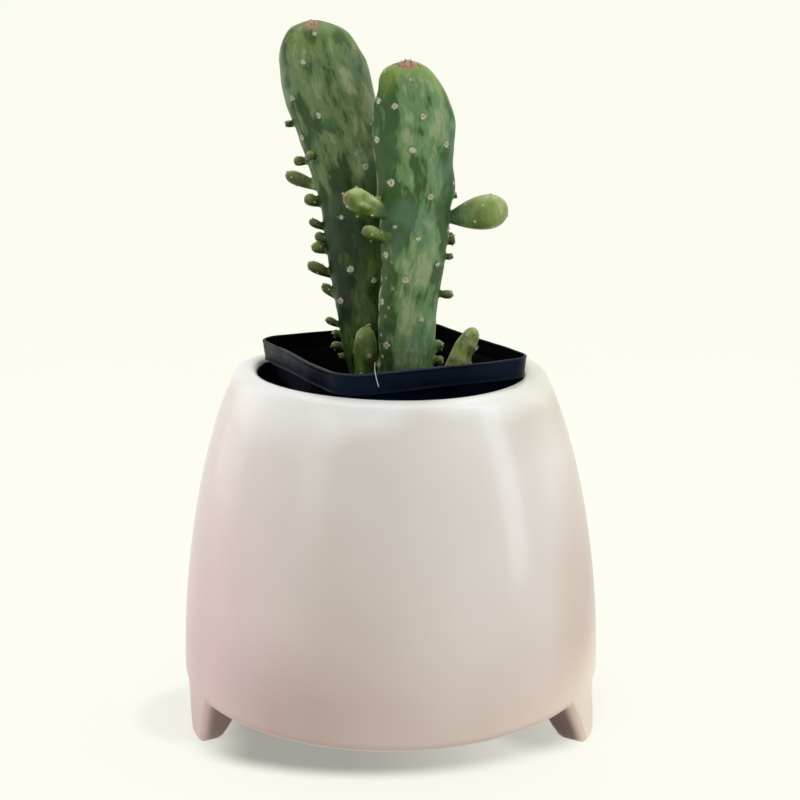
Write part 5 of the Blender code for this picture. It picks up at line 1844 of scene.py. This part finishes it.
def lit_acrylic(settings):
    """Opal acrylic sweep, lit from below: even cream light, with painted shadow under the planter and by its
    feet.
    """
    material, tree, shader = new_material("Opal acrylic sheet, cast and lit from below", {
        "Roughness": 0.9, "IOR": 1.49, "Specular IOR Level": 0.0,
    })
    place = add_node(tree, "TexCoord").outputs["Object"]
    mottle = add_node(tree, "TexNoise", {"Vector": place, "Scale": repeats(90)})
    shade = add_node(tree, "ValToRGB", {"Fac": mottle}, stops=[
        (0.3, tuple(0.995 * value for value in settings.floor)), (0.7, settings.floor),
    ])
    face = add_node(tree, "Mix", {0: settings.floor_face, 6: (0, 0, 0), 7: shade}, data_type="RGBA")
    # Painted shadow: the sheet's light is held back in an oval under the planter, deepest left of the middle
    about = add_node(tree, "VectorMath", {0: place, 1: (-9 * MM, 0.0, 0.0)}, operation="SUBTRACT")
    oval = add_node(tree, "VectorMath", {
        0: about, 1: (1 / settings.painted_shadow_width, 1 / settings.painted_shadow_depth, 0.0),
    }, operation="MULTIPLY")
    away = add_node(tree, "VectorMath", {0: oval}, operation="LENGTH")
    x = add_node(tree, "SeparateXYZ", {"Vector": place}).outputs["X"]
    # Two small painted shadows more lie by the feet
    left_foot, right_foot = (
        add_node(tree, "VectorMath", {0: place, 1: spot}, operation="DISTANCE")
        for spot in ((-84 * MM, -15 * MM, 0.0), (64 * MM, -33 * MM, 0.0))
    )
    # What each painted shadow follows, where it starts and is full, and how much light it holds back there
    painted_shadows = [add_node(tree, "MapRange", {
        "Value": value, "From Min": start, "From Max": full, "To Max": most,
    }, interpolation_type="SMOOTHSTEP") for value, start, full, most in (
        (away, 1.04, 0.865, 1.0), (x, 118 * MM, -27 * MM, 0.625), (x, -90 * MM, -57 * MM, 1.0),
        (left_foot, 34.5 * MM, 22 * MM, 0.104), (right_foot, 24 * MM, 8 * MM, 0.28),
    )]
    painted_shade = painted_shadows[0]
    for painted_shadow in painted_shadows[1:3]:
        painted_shade = add_node(tree, "Math", {0: painted_shade, 1: painted_shadow}, operation="MULTIPLY")
    kept = settings.floor_glow
    for painted_shadow in (painted_shade, *painted_shadows[3:]):
        let_by = add_node(tree, "Math", {0: 1.0, 1: painted_shadow}, operation="SUBTRACT")
        kept = add_node(tree, "Math", {0: let_by, 1: kept}, operation="MULTIPLY")
    plug(tree, shader, {"Base Color": face, "Emission Color": shade, "Emission Strength": kept})
    return material


class StageSettings(bpy.types.PropertyGroup):
    floor: colour_setting("Floor", "Opal acrylic of the floor and backdrop", "#FBFBEF")
    floor_glow: number_setting("Floor glow", "Strength of the light from below the sweep", 0.95)
    floor_face: number_setting(
        "Floor face", "Share of the light from above that it throws back", 0.075, max=1.0, subtype="FACTOR"
    )
    # Half sizes of the oval of painted shadow under the planter
    painted_shadow_width: length_setting("Felt width", "Half the width of the felt that dims the sweep", 110)
    painted_shadow_depth: length_setting("Felt depth", "Half the depth of the felt that dims the sweep", 73.9)
    sky: colour_setting("Surround", "Light from all round", "#FFFFFF")
    sky_power: number_setting("Surround light", "Strength of the surround", 0.55)
    right_power: number_setting("Right softbox", "Power of the tall softbox on the right", 1.4, unit="POWER")
    left_power: number_setting("Left softbox", "Power of the softbox on the left", 0.5, unit="POWER")
    top_power: number_setting("Top softbox", "Power of the softbox overhead", 2.36, unit="POWER")


def sweep_mesh():
    """Floor that curves up into a backdrop behind the object."""
    turns = np.radians(np.arange(6, 91, 6))
    curve = [(SWEEP_START + SWEEP_BEND * np.sin(t), SWEEP_BEND - SWEEP_BEND * np.cos(t)) for t in turns]
    profile = [(-SWEEP_REACH, 0.0), (SWEEP_START, 0.0), *curve, (SWEEP_START + SWEEP_BEND, SWEEP_TOP)]
    columns = np.linspace(-SWEEP_REACH, SWEEP_REACH, 9)
    points = [(x, y, z) for y, z in profile for x in columns]
    faces = []
    for i in range(0, len(points) - len(columns), len(columns)):
        for j in range(i, i + len(columns) - 1):
            faces.append([j, j + 1, j + len(columns) + 1, j + len(columns)])
    mesh = bpy.data.meshes.new("sweep")
    mesh.from_pydata(points, [], faces)
    mesh.shade_smooth()
    return mesh


def add_softbox(name, place, target, size, power, colour):
    """Rectangular area light aimed at a point."""
    light = bpy.data.lights.new(name, "AREA")
    light.shape = "RECTANGLE"
    light.size, light.size_y = size
    light.energy = power
    light.color = colour
    lamp = bpy.data.objects.new(name, light)
    bpy.context.scene.collection.objects.link(lamp)
    lamp.location = place
    lamp.rotation_euler = (Vector(target) - Vector(place)).to_track_quat("-Z", "Y").to_euler()


class PEAR_OT_stage(bpy.types.Operator):
    """Cream sweep, soft studio light and the camera"""

    bl_idname = "pear.stage"
    bl_label = "Stage"

    def execute(self, context):
        scene = context.scene
        settings = scene.pear.stage
        sweep = bpy.data.objects.new("sweep", sweep_mesh())
        sweep.data.materials.append(lit_acrylic(settings))
        scene.collection.objects.link(sweep)

        left, right, middle, white = settings.left_power, settings.right_power, (0.0, 0.0, 0.12), (1, 1, 1)
        for softbox in (
            ("right_softbox", (0.6, -0.2, 0.38), middle, (0.17, 0.95), right, (0.9, 1.0, 1.12)),
            ("left_softbox", (-0.5, -0.5, 0.42), middle, (0.25, 0.6), 1.1 * left, (0.97, 1.0, 1.05)),
            ("left_rim_softbox", (-0.6, 0.25, 0.35), middle, (0.4, 0.7), left, white),
            ("right_rim_softbox", (0.65, 0.35, 0.35), middle, (0.4, 0.7), 0.2 * right, white),
            ("top_softbox", (0.0, 0.2, 0.95), (0, 0, 0.1), (0.9, 0.7), settings.top_power, white),
        ):
            add_softbox(*softbox)

        world = bpy.data.worlds.new("surround")
        world.use_nodes = True
        background = world.node_tree.nodes["Background"]
        plug(world.node_tree, background, {"Color": settings.sky, "Strength": settings.sky_power})
        scene.world = world
        scene.view_settings.view_transform = "Standard"

        camera = bpy.data.objects.new("camera", bpy.data.cameras.new("camera"))
        camera.data.lens = CAMERA_LENS
        camera.data.sensor_width = 36.0
        camera.location = CAMERA_PLACE
        camera.rotation_euler = (CAMERA_PITCH, 0, 0)
        scene.collection.objects.link(camera)
        scene.camera = camera
        return {"FINISHED"}


class PearSettings(bpy.types.PropertyGroup):
    planter: PointerProperty(type=PlanterSettings)
    nursery_pot: PointerProperty(type=NurseryPotSettings)
    soil: PointerProperty(type=SoilSettings)
    stems: PointerProperty(type=StemSettings)
    areoles: PointerProperty(type=AreoleSettings)
    stage: PointerProperty(type=StageSettings)


OPERATORS = (
    PEAR_OT_planter, PEAR_OT_nursery_pot, PEAR_OT_soil, PEAR_OT_stems, PEAR_OT_areoles, PEAR_OT_stage
)


class PEAR_PT_pieces(bpy.types.Panel):
    """Buttons that build each piece, with its sizes and colours"""

    bl_idname = "PEAR_PT_pieces"
    bl_label = "Potted prickly pear"
    bl_space_type = "VIEW_3D"
    bl_region_type = "UI"
    bl_category = "Prickly pear"

    def draw(self, context):
        settings = context.scene.pear
        for operator in OPERATORS:
            box = self.layout.box()
            box.operator(operator.bl_idname)
            group = getattr(settings, operator.bl_idname.split(".")[1])
            for key in group.__annotations__:
                box.prop(group, key)


CLASSES = (
    PlanterSettings, NurseryPotSettings, SoilSettings, StemSettings, AreoleSettings, StageSettings,
    PearSettings, *OPERATORS, PEAR_PT_pieces,
)


def register():
    for item in CLASSES:
        bpy.utils.register_class(item)
    bpy.types.Scene.pear = PointerProperty(type=PearSettings)


def unregister():
    del bpy.types.Scene.pear
    for item in reversed(CLASSES):
        bpy.utils.unregister_class(item)


def main():
    register()
    bpy.ops.pear.planter()
    bpy.ops.pear.nursery_pot()
    bpy.ops.pear.soil()
    bpy.ops.pear.stems()
    bpy.ops.pear.areoles()
    bpy.ops.pear.stage()


if __name__ == "__main__":
    main()
